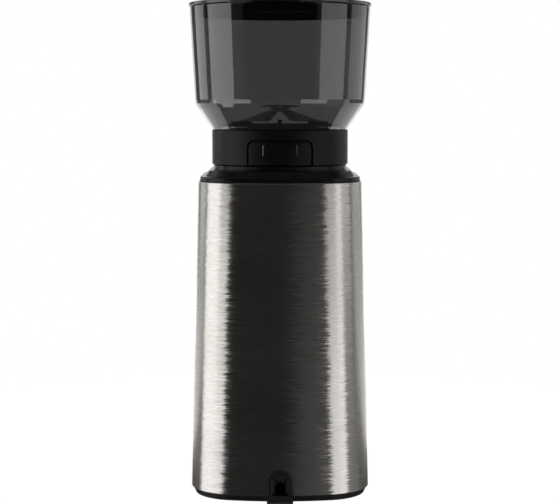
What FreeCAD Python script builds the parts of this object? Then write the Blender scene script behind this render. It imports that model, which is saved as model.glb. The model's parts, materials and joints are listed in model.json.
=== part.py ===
import FreeCAD, Part
import math
import os

# Burr coffee grinder: steel body with the motor and gear train inside, a conical burr set under
# a turning collar, and a lift-off hopper. Millimetres, +Z up, the front faces -Y.
# Lengths along Y are given from the grinding axis and shifted by axis_y when a shape is made,
# so that the origin lies under the middle of the whole grinder.

# Body: outline of the steel shell at its foot, and how much it narrows towards its top
body_width_foot = 137.0
body_width_taper = 11.6
rear_reach_foot = 67.0
rear_taper = 5.5
front_reach_foot = 63.0
front_taper = 5.0
rear_bow_radius = 200.0
rear_corner_radius = 37.0
front_corner_radius = 15.0
base_height = 5.0
steel_height = 235.5
steel_thickness = 1.0
panel_split = 40.0
panel_thickness = 2.6
panel_lap = 9.0

# Base plate, feet and grounds tray
foot_height = 2.0
foot_radius = 7.0
foot_stem_radius = 3.0
foot_stem_length = 3.0
foot_rear_margin_x = 20.5
foot_rear_margin_y = 29.5
foot_front_margin_x = 16.0
foot_front_margin_y = 24.0
rear_foot_half_width = 10.0
rear_foot_depth = 7.0
rear_foot_inset = 1.0
ring_foot_inset = 3.4
ring_top_inset = 1.0
ring_below_groove = 2.3
ring_groove_height = 0.5
ring_groove_depth = 0.9
ring_upper_step = 0.3
upstand_height = 9.0
upstand_thickness = 2.4
threshold_half_width = 11.0
threshold_chamfer = 2.0
threshold_depth = 10.0
tray_bay_reach = 128.0
tray_bay_half_width = 56.0
tray_bay_floor = 4.0
tray_bay_corner = 38.0
tray_bay_overlap = 8.0
tray_wall = 2.2
tray_floor = 3.2
tray_height = 17.7
tray_side_gap = 0.6
tray_rear_gap = 2.5
tray_grip_half_width = 18.0
tray_grip_depth = 6.0
tray_rail_half_width = 3.0
tray_rail_height = 1.8
vent_slot_length = 34.0
vent_slot_width = 3.0
vent_slot_pitch = 6.5
vent_slot_count = 7

# Cord outlet in the rear of the shell
outlet_half_width = 9.6
outlet_straight_height = 12.4
outlet_arch_height = 7.0
outlet_depth = 12.0
outlet_recess_half_width = 6.0
outlet_recess_depth = 3.0
cord_hole_half_width = 4.25
cord_hole_height = 9.4
outlet_flange = 3.0
outlet_flange_thickness = 2.0
clamp_gap = 7.5
clamp_depth = 7.0
clamp_half_width = 13.0
clamp_height = 13.0

# Top cap
cap_lip_inset = 1.2
cap_lip_height = 4.1
cap_shoulder_inset = 4.9
cap_shoulder_top_inset = 8.0
cap_shoulder_height = 4.6
cap_neck_inset = 1.2
cap_neck_height = 3.5
cap_rim_depth = 6.5
cap_rim_thickness = 2.4
cap_wall = 2.6
cap_boss_wall = 3.2

# Collar, hopper and lid
collar_skirt = 6.9
collar_height = 27.0
collar_wall = 2.4
collar_plate = 2.6
collar_tube_gap = 2.0
collar_tube_wall = 2.0
collar_tube_below_cap = 1.7
collar_chamfer = 0.6
latch_half_width = 23.6
latch_height = 18.4
latch_corner_radius = 4.5
latch_gap = 1.1
latch_wall = 2.4
latch_flange = 1.8
latch_flange_thickness = 1.3
latch_travel = 1.6
latch_pad_half_width = 13.1
latch_pad_rise = 7.4
latch_pad_height = 8.8
latch_pad_proud = 1.2
latch_pad_corner = 1.5
latch_post_radius = 1.6
latch_post_x = 18.0
latch_post_rise = 9.0
latch_cut_start = 20.0
spring_wire_radius = 0.3
latch_spring_radius = 2.4
latch_spring_coils = 2
spring_seat_gap = 0.1
ring_clip_width = 3.0
ring_clip_thickness = 1.2
sleeve_wall = 4.4
sleeve_depth = 23.0
sleeve_proud = 3.3
seal_rise = 3.5
seal_height = 2.6
seal_proud = 0.35
seal_groove_depth = 1.0
sleeve_chamfer = 1.0
hopper_foot_inset = 0.1
hopper_foot_rise = 0.9
hopper_cone_height = 16.3
hopper_cone_flare = 11.1
hopper_bend_height = 5.8
hopper_bend_flare = 2.3
hopper_side_height = 71.4
hopper_side_flare = 4.0
hopper_wall = 2.2
hopper_bend_bulge = 0.72
hopper_inner_drop = 0.6
hopper_foot_chamfer = 0.4
lid_overhang = 0.8
lid_thickness = 2.6
lid_crown = 2.2
lid_plug_wall = 2.2
lid_plug_depth = 7.5
lid_plug_gap = 0.5
lid_edge = 0.9
guard_radius = 27.0
guard_rim_rise = 3.3
guard_height = 10.8
guard_wall = 1.6
guard_tip_radius = 2.0
guard_arch_half_width = 6.8
guard_arch_height = 6.4
guard_leg_half_width = 1.8
guard_leg_inset = 1.9
guard_legs = 3
guard_crown_thickness = 2.08
guard_tip_drop = 0.5
guard_rim_edge = 0.6
guard_arch_stop = 6.0
guard_leg_root = 6.0
guard_leg_overlap = 0.8

# Gear train
pressure_angle = math.radians(20.0)
addendum_factor = 0.75
dedendum_factor = 1.0
gear_backlash = 0.2
motor_teeth = 12
wheel_teeth = 48
pinion_teeth = 14
output_teeth = 56
fast_module = 1.0
slow_module = 1.25
intermediate_angle = math.radians(40.0)
motor_angle = math.radians(180.0)
gear_floor_gap = 3.0
fast_gear_width = 8.0
gear_step = 3.0
slow_gear_width = 10.0
gear_head_gap = 4.0
axle_radius = 2.5
gear_wall = 1.9
gear_clearance = 0.8
gearbox_floor = 3.0
gearbox_cover = 3.5
bearing_radius = 8.0
bearing_height = 6.0
bearing_wall = 2.2
lower_bearing_rise = 0.5
gear_rim = 6.0
gear_web_inner = 6.0
gear_web_recess = 3.0
gear_hub_wall = 5.0
gear_hub_end_gap = 1.0
wheel_rim = 5.0
wheel_hub_radius = 9.0
pinion_overrun = 0.5
axle_boss_wall = 2.5
gearbox_ear_reach = 3.0
gearbox_ear_wall = 1.5
gearbox_screw_bearings = (-110, -20, 150)

# Grinding parts
shaft_radius = 4.0
chamber_wall = 3.6
chamber_floor = 4.0
chamber_depth = 49.5
chamber_top_gap = 1.3
chamber_leg_inset = 6.0
chamber_leg_wall = 3.0
felt_ring_width = 1.5
felt_gap = 0.1
outlet_port_half_width = 13.0
outlet_port_height = 17.0
impeller_tip_gap = 2.4
impeller_floor_gap = 1.0
impeller_plate = 2.5
impeller_height = 14.0
impeller_blades = 6
impeller_hub_wall = 4.0
impeller_blade_half = 1.2
impeller_blade_inset = 0.5
carrier_port_gap = 1.5
carrier_height = 42.5
carrier_wall = 9.1
carrier_rim = 4.1
carrier_key_rise = 2.7
carrier_key_height = 5.0
carrier_key_half_width = 3.0
carrier_key_end_gap = 0.6
carrier_lip = 2.5
outer_burr_rise = 3.0
outer_burr_height = 22.5
outer_burr_wall = 7.0
outer_burr_bore_taper = 5.0
inner_burr_drop = 0.5
inner_burr_height = 29.0
inner_burr_radius = 24.0
inner_burr_taper = 13.0
burr_tooth_depth = 1.6
burr_teeth = 24
burr_twist = math.radians(18.0)
burr_root_share = 0.6
burr_screw_head_radius = 8.0
burr_screw_head = 4.0
burr_screw_radius = 2.5
burr_screw_length = 14.0
burr_screw_slot_half = 1.0
burr_screw_slot_depth = 1.5
adjust_keys = 3

# Motor
motor_radius = 26.0
motor_wall = 1.6
motor_floor_gap = 37.0
motor_length = 74.0
motor_top_plate = 2.5
motor_boss_radius = 8.0
motor_boss_height = 3.0
motor_shaft_radius = 2.5
motor_bush_radius = 5.0
motor_bush_length = 5.0
motor_screw_inset = 11.0
motor_shaft_hole_gap = 2.0
shaft_hole_gap = 1.0
magnet_inner_radius = 21.0
magnet_span = math.radians(130.0)
magnet_inset = 16.0
magnet_length = 48.0
rotor_radius = 20.3
rotor_length = 44.0
rotor_slots = 10
rotor_slot_width = 2.4
rotor_slot_depth = 7.0
winding_radius = 17.5
winding_height = 4.5
winding_bore_wall = 2.0
commutator_radius = 8.0
commutator_inset = 4.5
commutator_length = 7.5
brush_half_width = 2.5
brush_tube_wall = 1.5
brush_reach = 3.0
brush_can_gap = 1.5
end_cap_plate = 6.0
end_cap_spigot = 3.0
end_cap_wall = 3.0
end_cap_floor = 3.0
end_cap_boss_wall = 2.0
end_cap_vent_radius = 4.0
end_cap_vent_reach = 14.0
fan_radius = 24.0
fan_cap_gap = 7.0
fan_height = 10.0
fan_plate = 1.8
fan_blades = 8
fan_blade_thickness = 1.2
fan_hub_wall = 3.0
fan_blade_inset = 1.0

# Inner frame
frame_panel_margin = 10.7
frame_panel_thickness = 3.0
frame_panel_front = -36.0
frame_panel_rear = 4.0
frame_deck = 4.0
frame_motor_margin = 3.0
frame_window_margin = 8.0
frame_window_rise = 18.0
frame_window_drop = 30.0
frame_lower_window_rise = 23.0
frame_lower_window_drop = 14.0
frame_screw_inset = 8.0

# Front: spout, cradle, trigger, switch and board
spout_half_width = 20.0
spout_reach = 104.0
spout_drop = 20.0
spout_height = 44.0
spout_wall = 2.4
spout_corner = 12.0
spout_root = 6.0
nozzle_radius = 15.0
nozzle_wall = 2.0
nozzle_length = 12.0
nozzle_setback = 20.0
duct_wall = 1.8
duct_overlap = 8.0
duct_proud = 4.0
cradle_half_width = 40.0
cradle_gap_half_width = 29.0
cradle_gap_depth = 38.0
cradle_reach = 112.0
cradle_bottom_z = 108.0
cradle_plate = 6.0
cradle_rim_height = 5.0
cradle_rim_width = 4.0
cradle_tip_round = 3.5
trigger_z = 137.0
trigger_radius = 6.0
trigger_proud = 8.75
trigger_length = 16.5
trigger_spring_radius = 4.5
trigger_spring_coils = 3
trigger_edge = 1.2
trigger_collar_radius = 8.0
trigger_collar_thickness = 1.5
trigger_housing_half_width = 12.0
trigger_housing_half_height = 10.0
trigger_housing_depth = 16.75
trigger_housing_wall = 1.5
rocker_z = 86.0
rocker_half_width = 7.0
rocker_half_height = 10.5
rocker_bezel = 2.0
rocker_bezel_height = 1.6
rocker_housing_depth = 15.0
rocker_tilt = math.radians(7.0)
rocker_swing_gap = 0.8
rocker_pivot_radius = 1.5
rocker_pivot_depth = 5.0
rocker_pivot_stub = 0.6
rocker_proud = 0.4
rocker_end_relief = 1.2
rocker_heel = 5.0
switch_back_wall = 2.0
board_setback = 14.0
board_thickness = 1.6
board_half_width = 32.0
board_rise = 3.0
board_height = 52.0
board_rail_inset = 6.0
board_rail_half_width = 4.0
board_rail_lip = 2.0
board_rail_grip = 4.0
# Blocks on the control board: left edge, width, rise above the board's foot, height, depth
relay_block = (-26.0, 18.0, 24.0, 16.0, 10.0)
heatsink_block = (18.0, 10.0, 18.0, 24.0, 9.0)
socket_block = (-24.0, 20.0, 6.0, 8.0, 8.0)
capacitor_radius = 6.0
capacitor_depth = 12.0
capacitor_x = 8.0
capacitor_rise = 34.0
terminal_left = -46.0
terminal_front = 34.0
terminal_length = 20.0
terminal_width = 8.0
terminal_height = 10.0
terminal_holes = 3
terminal_hole_inset = 3.5
terminal_hole_pitch = 6.5
terminal_hole_radius = 1.8
terminal_hole_depth = 5.0

# Fasteners
screw_radius = 1.5
screw_head_radius = 3.0
screw_head_height = 2.2
screw_length = 8.0
screw_socket_radius = 1.2
screw_socket_depth = 1.0
screw_end_gap = 0.5

# Clearances
running_clearance = 0.05
turning_gap = 0.3
sliding_gap = 0.3
fixed_gap = 0.2

# Heights, stacked from the table up
steel_bottom_z = foot_height + base_height
steel_top_z = steel_bottom_z + steel_height
ring_groove_z = foot_height + ring_below_groove
tray_bottom_z = foot_height + tray_bay_floor + sliding_gap
tray_rim_z = tray_bottom_z + tray_height
outlet_spring_z = steel_bottom_z + outlet_straight_height
outlet_top_z = outlet_spring_z + outlet_arch_height
cord_hole_top_z = steel_bottom_z + cord_hole_height
cap_lip_top_z = steel_top_z + cap_lip_height
cap_top_z = cap_lip_top_z + cap_shoulder_height
cap_neck_top_z = cap_top_z + cap_neck_height
collar_bottom_z = cap_neck_top_z + turning_gap
collar_top_z = collar_bottom_z + collar_height
collar_tube_bottom_z = steel_top_z - collar_tube_below_cap
latch_top_z = collar_bottom_z + latch_height
latch_pad_bottom_z = collar_bottom_z + latch_pad_rise
latch_pad_top_z = latch_pad_bottom_z + latch_pad_height
latch_post_z = collar_bottom_z + latch_post_rise
sleeve_bottom_z = collar_top_z - sleeve_depth
sleeve_top_z = collar_top_z + sleeve_proud
seal_z = sleeve_bottom_z + seal_rise
hopper_foot_z = collar_top_z + hopper_foot_rise
hopper_cone_top_z = hopper_foot_z + hopper_cone_height
hopper_bend_z = hopper_cone_top_z + hopper_bend_height
hopper_rim_z = hopper_bend_z + hopper_side_height
lid_bottom_z = hopper_rim_z + sliding_gap
lid_rim_top_z = lid_bottom_z + lid_thickness
lid_crown_z = lid_rim_top_z + lid_crown
lid_plug_bottom_z = lid_bottom_z - lid_plug_depth
guard_rim_z = sleeve_top_z + guard_rim_rise
guard_top_z = guard_rim_z + guard_height
guard_arch_top_z = guard_rim_z + guard_arch_height
motor_bottom_z = steel_bottom_z + motor_floor_gap
motor_top_z = motor_bottom_z + motor_length
magnet_bottom_z = motor_bottom_z + magnet_inset
magnet_top_z = magnet_bottom_z + magnet_length
rotor_bottom_z = (magnet_bottom_z + magnet_top_z - rotor_length) / 2
rotor_top_z = rotor_bottom_z + rotor_length
commutator_bottom_z = motor_bottom_z + commutator_inset
commutator_top_z = commutator_bottom_z + commutator_length
end_cap_bottom_z = motor_bottom_z - end_cap_plate
fan_bottom_z = end_cap_bottom_z - fan_cap_gap - fan_height
gearbox_floor_z = motor_top_z + frame_deck
gearbox_floor_top_z = gearbox_floor_z + gearbox_floor
lower_bearing_z = gearbox_floor_top_z + lower_bearing_rise
fast_gear_bottom_z = gearbox_floor_top_z + gear_floor_gap
fast_gear_top_z = fast_gear_bottom_z + fast_gear_width
slow_gear_bottom_z = fast_gear_top_z + gear_step
slow_gear_top_z = slow_gear_bottom_z + slow_gear_width
gearbox_top_z = slow_gear_top_z + gear_head_gap
gearbox_cover_top_z = gearbox_top_z + gearbox_cover
upper_bearing_z = gearbox_cover_top_z
chamber_top_z = collar_tube_bottom_z - chamber_top_gap
chamber_floor_top_z = chamber_top_z - chamber_depth
chamber_floor_z = chamber_floor_top_z - chamber_floor
outlet_port_top_z = chamber_floor_top_z + outlet_port_height
impeller_bottom_z = chamber_floor_top_z + impeller_floor_gap
impeller_top_z = impeller_bottom_z + impeller_height
carrier_bottom_z = outlet_port_top_z + carrier_port_gap
carrier_top_z = carrier_bottom_z + carrier_height
carrier_key_bottom_z = collar_tube_bottom_z + carrier_key_rise
outer_burr_bottom_z = carrier_bottom_z + outer_burr_rise
outer_burr_top_z = outer_burr_bottom_z + outer_burr_height
inner_burr_bottom_z = carrier_bottom_z - inner_burr_drop
inner_burr_top_z = inner_burr_bottom_z + inner_burr_height
spout_bottom_z = chamber_floor_top_z - spout_drop
spout_top_z = spout_bottom_z + spout_height
nozzle_bottom_z = spout_bottom_z - nozzle_length
board_bottom_z = steel_bottom_z + board_rise
board_top_z = board_bottom_z + board_height

# Radii, from the inner burr out to the lid
inner_burr_top_radius = inner_burr_radius - inner_burr_taper
outer_burr_bore_top = inner_burr_radius - outer_burr_bore_taper
outer_burr_radius = inner_burr_radius + outer_burr_wall
carrier_radius = outer_burr_radius + carrier_wall
carrier_throat_radius = carrier_radius - carrier_rim
chamber_bore = carrier_radius + turning_gap
chamber_radius = chamber_bore + chamber_wall
chamber_leg_radius = chamber_radius - chamber_leg_inset
impeller_radius = chamber_bore - impeller_tip_gap
collar_tube_radius = chamber_radius + collar_tube_gap
collar_radius = collar_tube_radius + collar_skirt
cap_neck_radius = collar_radius - cap_neck_inset
ring_clip_radius = collar_tube_radius + ring_clip_width
sleeve_radius = collar_tube_radius - collar_tube_wall - sliding_gap
guard_leg_reach = sleeve_radius - guard_leg_inset
hopper_foot_radius = collar_radius - hopper_foot_inset
hopper_cone_top_radius = hopper_foot_radius + hopper_cone_flare
hopper_bend_radius = hopper_cone_top_radius + hopper_bend_flare
hopper_rim_radius = hopper_bend_radius + hopper_side_flare
lid_radius = hopper_rim_radius + lid_overhang

# Places along Y, from the grinding axis
rear_most = max(rear_reach_foot, lid_radius)
axis_y = (tray_bay_reach - rear_most) / 2
body_width_top = body_width_foot - body_width_taper
rear_reach_top = rear_reach_foot - rear_taper
front_reach_top = front_reach_foot - front_taper
tray_rear_y = -front_reach_foot - tray_rear_gap
clamp_y = rear_reach_foot - outlet_depth - clamp_gap - clamp_depth
nozzle_y = -spout_reach + nozzle_setback
cradle_gap_rear = -cradle_reach + cradle_gap_depth
board_y = -front_reach_foot + board_setback
frame_panel_x = body_width_top / 2 - frame_panel_margin
fast_distance = fast_module * (motor_teeth + wheel_teeth) / 2
slow_distance = slow_module * (pinion_teeth + output_teeth) / 2
intermediate_x = slow_distance * math.cos(intermediate_angle)
intermediate_y = slow_distance * math.sin(intermediate_angle)
motor_x = intermediate_x + fast_distance * math.cos(motor_angle)
motor_y = intermediate_y + fast_distance * math.sin(motor_angle)
output_housing_radius = slow_module * (output_teeth / 2 + addendum_factor) + gear_clearance + gear_wall
wheel_housing_radius = fast_module * (wheel_teeth / 2 + addendum_factor) + gear_clearance + gear_wall
everywhere = 600.0


# ---- shape helpers ----

def vec(x, y, z):
    """A point, with y measured from the grinding axis."""
    return FreeCAD.Vector(x, axis_y + y, z)


def box(x0, x1, y0, y1, z0, z1):
    return Part.makeBox(x1 - x0, y1 - y0, z1 - z0, vec(x0, y0, z0))


def cylinder(radius, z0, z1, x=0.0, y=0.0):
    return Part.makeCylinder(radius, z1 - z0, vec(x, y, z0))


def tube(outer, inner, z0, z1, x=0.0, y=0.0):
    return cylinder(outer, z0, z1, x, y).cut(cylinder(inner, z0, z1, x, y))


def cylinder_y(radius, y0, y1, x, z):
    """A cylinder lying along Y."""
    return Part.makeCylinder(radius, y1 - y0, vec(x, y0, z), FreeCAD.Vector(0, 1, 0))


def fuse(shapes):
    return shapes[0].fuse(shapes[1:]).removeSplitter()


def revolve(points):
    """A full turn about the grinding axis of a closed outline of (radius, z) points."""
    outline = Part.makePolygon([vec(r, 0, z) for r, z in points + points[:1]])
    return Part.Face(outline).revolve(vec(0, 0, 0), FreeCAD.Vector(0, 0, 1), 360)


def prism(points, z0, z1):
    """An upright prism on a closed outline of (x, y) points."""
    outline = Part.makePolygon([vec(x, y, z0) for x, y in points + points[:1]])
    return Part.Face(outline).extrude(FreeCAD.Vector(0, 0, z1 - z0))


def around(shape, count):
    """Copies of a shape, evenly spaced about the grinding axis."""
    copies = []
    for step in range(count):
        copy = shape.copy()
        copy.rotate(vec(0, 0, 0), FreeCAD.Vector(0, 0, 1), 360.0 * step / count)
        copies.append(copy)
    return copies


def turned(shape, degrees):
    copy = shape.copy()
    copy.rotate(vec(0, 0, 0), FreeCAD.Vector(0, 0, 1), degrees)
    return copy


def round_upright_edges(shape, radius, keep):
    """Fillet the vertical edges for which keep(x, y) is true, y measured from the grinding axis."""
    edges = []
    for edge in shape.Edges:
        start = edge.Vertexes[0].Point
        end = edge.Vertexes[-1].Point
        upright = abs(start.x - end.x) < 0.01 and abs(start.y - end.y) < 0.01
        if upright and keep(start.x, start.y - axis_y):
            edges.append(edge)
    return shape.makeFillet(radius, edges)


# ---- body outline ----

def body_wire(z, inset):
    """The shell's outline at a height, moved inwards by inset: bowed rear, round corners, flat front."""
    rise = (z - steel_bottom_z) / (steel_top_z - steel_bottom_z)
    half = (body_width_foot + rise * (body_width_top - body_width_foot)) / 2 - inset
    rear = rear_reach_foot + rise * (rear_reach_top - rear_reach_foot) - inset
    front = -(front_reach_foot + rise * (front_reach_top - front_reach_foot)) + inset
    bow = rear_bow_radius - inset
    corner = rear_corner_radius - inset
    front_corner = max(front_corner_radius - inset, 1.0)
    centre_x = half - corner
    bow_y = rear - bow
    centre_y = bow_y + math.sqrt((bow - corner) ** 2 - centre_x ** 2)
    angle = math.atan2(centre_y - bow_y, centre_x)
    bow_end = (bow * math.cos(angle), bow_y + bow * math.sin(angle))
    corner_mid = (centre_x + corner * math.cos(angle / 2), centre_y + corner * math.sin(angle / 2))
    side_front_y = front + front_corner
    front_x = half - front_corner
    diagonal = front_corner * math.sqrt(0.5)
    front_mid = (front_x + diagonal, side_front_y - diagonal)

    def right(x, y):
        return vec(x, y, z)

    def left(x, y):
        return vec(-x, y, z)

    edges = [Part.Arc(left(*bow_end), vec(0, rear, z), right(*bow_end)).toShape()]
    edges.append(Part.Arc(right(*bow_end), right(*corner_mid), right(half, centre_y)).toShape())
    edges.append(Part.LineSegment(right(half, centre_y), right(half, side_front_y)).toShape())
    edges.append(Part.Arc(right(half, side_front_y), right(*front_mid), right(front_x, front)).toShape())
    edges.append(Part.LineSegment(right(front_x, front), left(front_x, front)).toShape())
    edges.append(Part.Arc(left(front_x, front), left(*front_mid), left(half, side_front_y)).toShape())
    edges.append(Part.LineSegment(left(half, side_front_y), left(half, centre_y)).toShape())
    edges.append(Part.Arc(left(half, centre_y), left(*corner_mid), left(*bow_end)).toShape())
    return Part.Wire(edges)


def body_block(z0, z1, inset0, inset1=None):
    """A solid between two heights of the shell's outline."""
    top_inset = inset0 if inset1 is None else inset1
    return Part.makeLoft([body_wire(z0, inset0), body_wire(z1, top_inset)], True, True)


def front_face_y(z):
    """Where the front panel's outer face lies at a height."""
    rise = (z - steel_bottom_z) / (steel_top_z - steel_bottom_z)
    return -(front_reach_foot + rise * (front_reach_top - front_reach_foot))


# ---- base, feet and tray ----

def bay_wire(z, inset, rear_y):
    """Outline of the tray bay: straight sides and a rounded front."""
    half = tray_bay_half_width - inset
    front = -tray_bay_reach + inset
    corner = tray_bay_corner - inset
    diagonal = corner * math.sqrt(0.5)
    inner_x = half - corner
    inner_y = front + corner
    edges = [Part.LineSegment(vec(half, rear_y, z), vec(half, inner_y, z)).toShape()]
    edges.append(Part.Arc(vec(half, inner_y, z), vec(inner_x + diagonal, inner_y - diagonal, z),
                          vec(inner_x, front, z)).toShape())
    edges.append(Part.LineSegment(vec(inner_x, front, z), vec(-inner_x, front, z)).toShape())
    edges.append(Part.Arc(vec(-inner_x, front, z), vec(-inner_x - diagonal, inner_y - diagonal, z),
                          vec(-half, inner_y, z)).toShape())
    edges.append(Part.LineSegment(vec(-half, inner_y, z), vec(-half, rear_y, z)).toShape())
    edges.append(Part.LineSegment(vec(-half, rear_y, z), vec(half, rear_y, z)).toShape())
    return Part.Wire(edges)


def bay_block(z0, z1, inset, rear_y):
    return Part.Face(bay_wire(z0, inset, rear_y)).extrude(FreeCAD.Vector(0, 0, z1 - z0))


def foot_places():
    rear_x = body_width_foot / 2 - foot_rear_margin_x
    rear_y = rear_reach_foot - foot_rear_margin_y
    front_x = tray_bay_half_width - foot_front_margin_x
    front_y = -tray_bay_reach + foot_front_margin_y
    return [(-rear_x, rear_y), (rear_x, rear_y), (-front_x, front_y), (front_x, front_y)]


def frame_screw_places():
    x = frame_panel_x + frame_panel_thickness / 2
    return [(side * x, y) for side in (-1, 1)
            for y in (frame_panel_front + frame_screw_inset, frame_panel_rear - frame_screw_inset)]


def base_plate():
    groove_top = ring_groove_z + ring_groove_height
    slope = (ring_foot_inset - ring_top_inset) / (steel_bottom_z - foot_height)
    groove_inset = ring_foot_inset - slope * (ring_groove_z - foot_height)
    core_inset = groove_inset + ring_groove_depth
    shapes = [body_block(foot_height, ring_groove_z, ring_foot_inset, groove_inset)]
    shapes.append(body_block(ring_groove_z, groove_top, core_inset))
    shapes.append(body_block(groove_top, steel_bottom_z, groove_inset - ring_upper_step, ring_top_inset))
    upstand_inset = steel_thickness + fixed_gap
    wall = body_block(steel_bottom_z, steel_bottom_z + upstand_height, upstand_inset)
    wall = wall.cut(body_block(steel_bottom_z - 1, steel_bottom_z + upstand_height + 1,
                               upstand_inset + upstand_thickness))
    front_wall_zone = box(-everywhere, everywhere, -everywhere, -panel_split + panel_lap + 2, 0, 40)
    outlet_zone_half = outlet_half_width + outlet_flange + fixed_gap
    outlet_zone = box(-outlet_zone_half, outlet_zone_half, 0, everywhere, steel_bottom_z, 40)
    shapes.append(wall.cut(front_wall_zone).cut(outlet_zone))
    shapes.append(bay_block(foot_height, foot_height + tray_bay_floor, 0,
                            -front_reach_foot + tray_bay_overlap))
    rail_y0 = -tray_bay_reach + tray_bay_corner / 2
    rail_bottom = foot_height + tray_bay_floor
    shapes.append(box(-tray_rail_half_width, tray_rail_half_width, rail_y0, tray_rear_y,
                      rail_bottom, rail_bottom + tray_rail_height))
    shapes.append(threshold_block())
    body = fuse(shapes)
    for x, y in foot_places():
        body = body.cut(cylinder(foot_stem_radius, foot_height, foot_height + foot_stem_length, x, y))
    for x, y in frame_screw_places():
        body = body.cut(cylinder(screw_radius, foot_height, steel_bottom_z, x, y))
        body = body.cut(cylinder(screw_head_radius, foot_height, foot_height + screw_head_height, x, y))
    for index in range(vent_slot_count):
        x = (index - (vent_slot_count - 1) / 2) * vent_slot_pitch
        half = vent_slot_width / 2
        body = body.cut(box(x - half, x + half, -vent_slot_length / 2, vent_slot_length / 2,
                            foot_height - 1, steel_bottom_z + 1))
    return body


def threshold_block():
    """The block under the cord outlet, flush with the shell's rear face."""
    half = threshold_half_width
    low = half - threshold_chamfer
    points = [(-half, steel_bottom_z), (half, steel_bottom_z), (half, foot_height + threshold_chamfer)]
    points += [(low, foot_height), (-low, foot_height), (-half, foot_height + threshold_chamfer)]
    rear = rear_reach_foot - threshold_depth
    outline = Part.makePolygon([vec(x, rear, z) for x, z in points + points[:1]])
    return Part.Face(outline).extrude(FreeCAD.Vector(0, rear_reach_foot - rear, 0))


def rubber_feet():
    feet = []
    for x, y in foot_places():
        pad = cylinder(foot_radius, 0, foot_height, x, y)
        stem = cylinder(foot_stem_radius, foot_height, foot_height + foot_stem_length, x, y)
        feet.append(pad.fuse(stem))
    return Part.makeCompound(feet)


def rear_foot():
    rear = rear_reach_foot - rear_foot_inset
    return box(-rear_foot_half_width, rear_foot_half_width, rear - rear_foot_depth, rear, 0, foot_height)


def grounds_tray():
    bottom = tray_bottom_z
    body = bay_block(bottom, tray_rim_z, tray_side_gap, tray_rear_y)
    hollow = bay_block(bottom + tray_floor, tray_rim_z + 1, tray_side_gap + tray_wall,
                       tray_rear_y - tray_wall)
    groove_half = tray_rail_half_width + sliding_gap
    groove = box(-groove_half, groove_half, -tray_bay_reach + tray_bay_corner / 2 - sliding_gap,
                 0, 0, bottom + tray_rail_height)
    grip = box(-tray_grip_half_width, tray_grip_half_width, -everywhere, -tray_bay_reach + 10,
               tray_rim_z - tray_grip_depth, tray_rim_z + 1)
    return body.cut(hollow).cut(groove).cut(grip)


# ---- shell, front panel, cap and cord outlet ----

def arch_face(half_width, spring_z, top_z, bottom_z, y):
    """An upright arch outline: straight sides and a round top, facing along Y."""
    edges = [Part.LineSegment(vec(-half_width, y, bottom_z), vec(half_width, y, bottom_z)).toShape()]
    edges.append(Part.LineSegment(vec(half_width, y, bottom_z), vec(half_width, y, spring_z)).toShape())
    edges.append(Part.Arc(vec(half_width, y, spring_z), vec(0, y, top_z),
                          vec(-half_width, y, spring_z)).toShape())
    edges.append(Part.LineSegment(vec(-half_width, y, spring_z), vec(-half_width, y, bottom_z)).toShape())
    return Part.Face(Part.Wire(edges))


def arch_block(half_width, spring_z, top_z, bottom_z, y0, y1):
    face = arch_face(half_width, spring_z, top_z, bottom_z, y0)
    return face.extrude(FreeCAD.Vector(0, y1 - y0, 0))


def steel_shell():
    skin = body_block(steel_bottom_z, steel_top_z, 0)
    skin = skin.cut(body_block(steel_bottom_z - 1, steel_top_z + 1, steel_thickness))
    skin = skin.cut(box(-everywhere, everywhere, -everywhere, -panel_split, 0, everywhere))
    notch = arch_block(outlet_half_width + fixed_gap, outlet_spring_z, outlet_top_z + fixed_gap,
                       0, 0, everywhere)
    return skin.cut(notch)


def cord_outlet():
    flush = body_block(steel_bottom_z, outlet_top_z + 10, 0)
    behind = body_block(steel_bottom_z, outlet_top_z + 10, steel_thickness + fixed_gap)
    rear = rear_reach_foot
    front = rear - outlet_depth
    plug = arch_block(outlet_half_width, outlet_spring_z, outlet_top_z, steel_bottom_z, front, rear + 5)
    flange_y = rear - steel_thickness - outlet_flange_thickness - 2
    flange = arch_block(outlet_half_width + outlet_flange, outlet_spring_z,
                        outlet_top_z + outlet_flange, steel_bottom_z, flange_y, rear + 5)
    body = plug.common(flush).fuse(flange.common(behind))
    recess_y = rear - outlet_recess_depth - 1
    recess = box(-outlet_recess_half_width, outlet_recess_half_width, recess_y, rear + 5,
                 0, outlet_spring_z)
    hole = arch_block(cord_hole_half_width, cord_hole_top_z - cord_hole_half_width, cord_hole_top_z,
                      0, front - 1, rear + 5)
    return body.cut(recess).cut(hole).removeSplitter()


def cable_clamp():
    """A bridge over the cord's path, screwed to the base plate."""
    top = steel_bottom_z + clamp_height
    body = box(-clamp_half_width, clamp_half_width, clamp_y, clamp_y + clamp_depth, steel_bottom_z, top)
    hole = arch_block(cord_hole_half_width, cord_hole_top_z - cord_hole_half_width, cord_hole_top_z,
                      0, clamp_y - 1, clamp_y + clamp_depth + 1)
    return body.cut(hole)


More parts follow.
